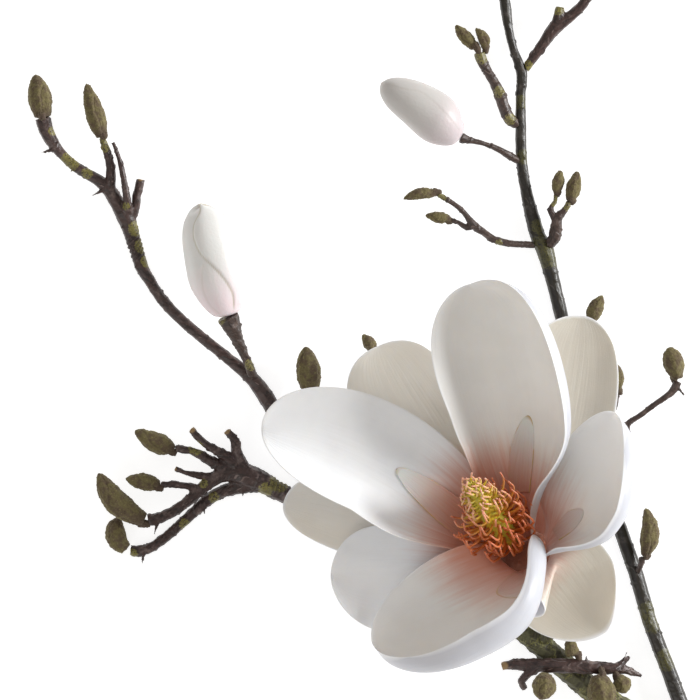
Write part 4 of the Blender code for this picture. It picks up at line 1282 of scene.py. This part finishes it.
STEMS = (
    Stem("main_stem", Bark.OLIVE, "bark_olive", scar_gap=26.0, wrinkles=0.1,
         moss=((79, 40, 9), (76, 50, 4), (70, 78, 4), (69, 100, 4), (121, -108, 8),
               (128, -125, 6))),
    Stem("top_branch", Bark.UMBER, "bark_umber", "main_stem", scar_gap=12.0,
         moss=((83.8, 138, 4), (71, 114, 4))),
    Stem("upper_spur", Bark.TWIG, "bark_umber", "main_stem", scar_gap=6.0,
         moss=((60, 104, 3), (52.6, 118, 4), (64.5, 93, 3))),
    Stem("white_bud_twig", Bark.TWIG, "twig_brown", "main_stem", scar_gap=9.0, voxel=0.34),
    Stem("west_twig", Bark.TWIG, "twig_brown", "main_stem", scar_gap=7.0, voxel=0.34,
         moss=((36, 62, 4), (60, 43, 2))),
    Stem("east_twig", Bark.TWIG, "twig_brown", "main_stem", scar_gap=6.0, voxel=0.34,
         moss=((82, 60, 3), (88, 58, 3))),
    Stem("right_twig", Bark.TWIG, "twig_brown", "main_stem", scar_gap=8.0, voxel=0.34,
         thorns=(Thorn((131.4, -14.4), (134.6, -18.4), 0.8),
                 Thorn((112.4, -29.6), (112.9, -34.4), 0.7))),
    Stem("flower_branch", Bark.MOSSY, "bark_olive", "main_stem", scar_gap=9.0, wrinkles=0.45),
    Stem("flower_stalk", Bark.MOSSY, "bark_olive", "flower_branch", scar_gap=6.0),
    Stem("left_branch", Bark.UMBER, "bark_umber", "flower_branch", scar_gap=13.0,
         thorns=(Thorn((-84.8, 33.2), (-87.6, 33.6), 0.9),
                 Thorn((-89.6, 49.2), (-92.9, 49.4), 1.0),
                 Thorn((-98.6, 65.2), (-104.2, 62.2), 1.1),
                 Thorn((-118.4, 81.2), (-124.9, 79.6), 1.0),
                 Thorn((-111, 74.2), (-112.9, 71.6), 0.7)),
         moss=((-86.4, 49, 4.2), (-84, 42, 4), (-82, 36, 3.4), (-113, 76, 5), (-106, 71.4, 3),
               (-99.4, 83, 4.6), (-119.8, 88.4, 2.4), (-90.3, 58, 2), (-18, -43, 5)),
         cuts=((-84.5, 69.6, 1.6),), rings=((-86.8, 41, 6.4),)),
    Stem("left_fan", Bark.UMBER, "bark_umber", "left_branch", scar_gap=8.0, wrinkles=0.34,
         thorns=(Thorn((-77.2, -68.6), (-78.9, -74.4), 1.0),
                 Thorn((-83.2, -80.8), (-84.0, -86.6), 1.1),
                 Thorn((-58.4, -61), (-58.9, -66.6), 1.0),
                 Thorn((-43.2, -54.8), (-43.4, -59.4), 0.9),
                 Thorn((-62.6, -54.4), (-65.2, -58.6), 0.8)),
         moss=((-28.5, -53.5, 5), (-34, -56.5, 4), (-67, -70.5, 3), (-55, -59.6, 3),
               (-62, -39.4, 4), (-59, -53.8, 2.4), (-88, -82.6, 3), (-74, -40, 3)),
         cuts=((-63.8, -31.6, 2.2), (-50, -32.2, 2.2), (-70.8, -47.6, 1.4)),
         rings=((-27, -54.5, 5),)),
    Stem("white_bud_stalk", Bark.TWIG, "twig_brown", "left_branch", scar_gap=6.0, wrinkles=0.3,
         moss=((-52.4, 12.4, 3.4), (-40, -6, 3))),
    Stem("bottom_fan", Bark.UMBER, "bark_umber", "flower_branch", scar_gap=6.0, wrinkles=0.36,
         thorns=(Thorn((95.6, -126), (94.4, -122.6), 0.8),
                 Thorn((109, -126.6), (111.4, -121.4), 0.7)),
         cuts=((61.6, -127.4, 2.6),)),
    Stem("stalk_low_main", Bark.TWIG, "twig_brown", "main_stem", scar_gap=5.0, voxel=0.3),
    Stem("stalk_right", Bark.TWIG, "twig_brown", "main_stem", scar_gap=6.0, voxel=0.3),
    Stem("stalk_top_right", Bark.TWIG, "twig_brown", "main_stem", scar_gap=6.0, voxel=0.3),
    Stem("stalk_left", Bark.TWIG, "twig_brown", "left_branch", scar_gap=7.0, voxel=0.34),
    Stem("stalk_back", Bark.TWIG, "twig_brown", "flower_branch", scar_gap=9.0, voxel=0.34),
)


def wood_tree() -> BVHTree:
    """Every woody CAD solid in one tree, for the buds' necks to reach."""
    corners, faces = [], []
    for stem in STEMS:
        solid = cad_copy(stem.node)
        first = len(corners)
        corners.extend(vert.co.copy() for vert in solid.verts)
        faces.extend([first + vert.index for vert in face.verts] for face in solid.faces)
        solid.free()
    return BVHTree.FromPolygons(corners, faces)


@dataclass
class Buds:
    """Every bud on the spray."""

    white: tuple[WhiteBud, ...] = (
        WhiteBud("white_bud_left", (-49.0, 13.7, 17.1), (-59.8, 57.8, 22.0), 11.5, 4.6,
                 0.42, 0.8, 2.6, 0.3,
                 seam=((0.0, 2.6), (0.18, 4.2), (0.28, 3.4), (0.39, 1.4), (0.5, -1.5),
                       (0.61, -4.4), (0.75, -5.4), (0.86, -4.0), (0.95, -0.6), (1.0, 0.0)),
                 second=((0.05, -3.0), (0.14, -5.3), (0.27, -6.5), (0.38, -6.1), (0.5, -4.4)),
                 notch=0.8),
        WhiteBud("white_bud_top", (44.2, 85.2, 14.2), (12.4, 106.8, 20.0), 9.9, 3.0,
                 0.34, 0.75, 1.7, 0.28,
                 seam=((0.0, 1.0), (0.3, 3.0), (0.6, 4.5), (0.8, 2.0), (1.0, 0.0)),
                 bow=(0.6, 1.0, 0.0), step=0.12, ink=0.1),
    )
    green: tuple[str, ...] = (
        "bud_spur_left", "bud_spur_right", "bud_west_a", "bud_west_b", "bud_east_a",
        "bud_east_b", "bud_top_right", "bud_right_small", "bud_right_big", "bud_low_main",
        "bud_behind_left", "bud_behind_back", "bud_tip_a", "bud_tip_b", "bud_fan_big",
        "bud_fan_low", "bud_fan_west", "bud_fan_side", "bud_bottom_left",
        "bud_bottom_middle", "bud_bottom_right", "bud_leader", "bud_top_branch",
        "scale_bottom")

    def build(self) -> None:
        """The white buds, then the green ones."""
        seam = (0.56, 0.51, 0.40)
        lit_white = ClosedBudSkin("closed_bud", (0.80, 0.79, 0.765), (0.86, 0.74, 0.76),
                               seam).make()
        # Painted shade: the top bud's skin is the same white made darker, as that bud lies in
        # shadow.
        in_shade = ClosedBudSkin("closed_bud_in_shade", (0.60, 0.575, 0.55), (0.66, 0.58, 0.59),
                             seam).make()
        for bud, skin in zip(self.white, (lit_white, in_shade)):
            bud.build(skin)
        down = DownSkin("bud_down", (0.165, 0.135, 0.055), (0.115, 0.080, 0.045),
                        (0.32, 0.28, 0.11)).make()
        wood = wood_tree()
        for node in self.green:
            GreenBud(node).build(down, wood)


# ---------------------------------------------------------------- the studio


@dataclass
class Studio:
    """Floor, lights and camera."""

    camera_height: float = 1.42
    lens: float = 180.0
    floor_size: float = 12.0

    def floor(self) -> None:
        """A pale plain floor, just under the spray."""
        bm = bmesh.new()
        bmesh.ops.create_grid(bm, x_segments=2, y_segments=2, size=0.5 * self.floor_size)
        floor = object_from(bm, "floor")
        floor.location.z = -0.0002
        mix = Recipe("floor_white", 0.9)
        mix.set("Base Color", (0.50, 0.50, 0.50, 1.0))
        mix.set("Emission Color", (1.0, 1.0, 1.0, 1.0))
        mix.set("Emission Strength", 0.80)
        mix.set("Specular IOR Level", 0.0)
        floor.data.materials.append(mix.material)

    def light(self, name: str, place: Place, size: float, watts: float,
              colour: Colour = (1.0, 1.0, 1.0)) -> None:
        """A square soft light aimed at the spray.

        Args:
            name: the light's name.
            place: where it hangs, in metres.
            size: its side, in metres.
            watts: its power.
            colour: its tint.
        """
        data = bpy.data.lights.new(name, "AREA")
        data.size = size
        data.energy = watts
        data.color = colour
        lamp = bpy.data.objects.new(name, data)
        lamp.location = place
        lamp.rotation_euler = Vector(place).to_track_quat("Z", "Y").to_euler()
        bpy.context.scene.collection.objects.link(lamp)

    def build(self) -> None:
        """Set up the studio."""
        scene = bpy.context.scene
        world = bpy.data.worlds.new("studio")
        world.use_nodes = True
        sky = world.node_tree.nodes["Background"]
        sky.inputs["Color"].default_value = (1.0, 0.97, 0.935, 1.0)
        sky.inputs["Strength"].default_value = 0.40
        scene.world = world
        scene.view_settings.view_transform = "Standard"
        self.floor()
        self.light("key", (2.1, 0.5, 0.8), 0.7, 56.0, (0.98, 0.99, 1.0))
        self.light("fill", (-0.6, 0.3, 2.2), 1.6, 3.0, (1.0, 0.97, 0.93))
        self.light("low fill", (-1.1, -1.3, 1.2), 1.2, 7.0, (1.0, 0.985, 0.97))
        data = bpy.data.cameras.new("camera")
        data.lens = self.lens
        camera = bpy.data.objects.new("camera", data)
        camera.location = plan(0.0, 0.0, self.camera_height / MM)
        scene.collection.objects.link(camera)
        scene.camera = camera


def main() -> None:
    """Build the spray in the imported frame."""
    logging.basicConfig(level=logging.INFO, format="%(name)s %(message)s")
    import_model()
    Studio().build()
    Flower().build()
    Buds().build()
    skins = {bark: bark.value.make() for bark in Bark}
    for stem in STEMS:
        stem.build(skins[stem.bark])


if __name__ == "__main__":
    main()
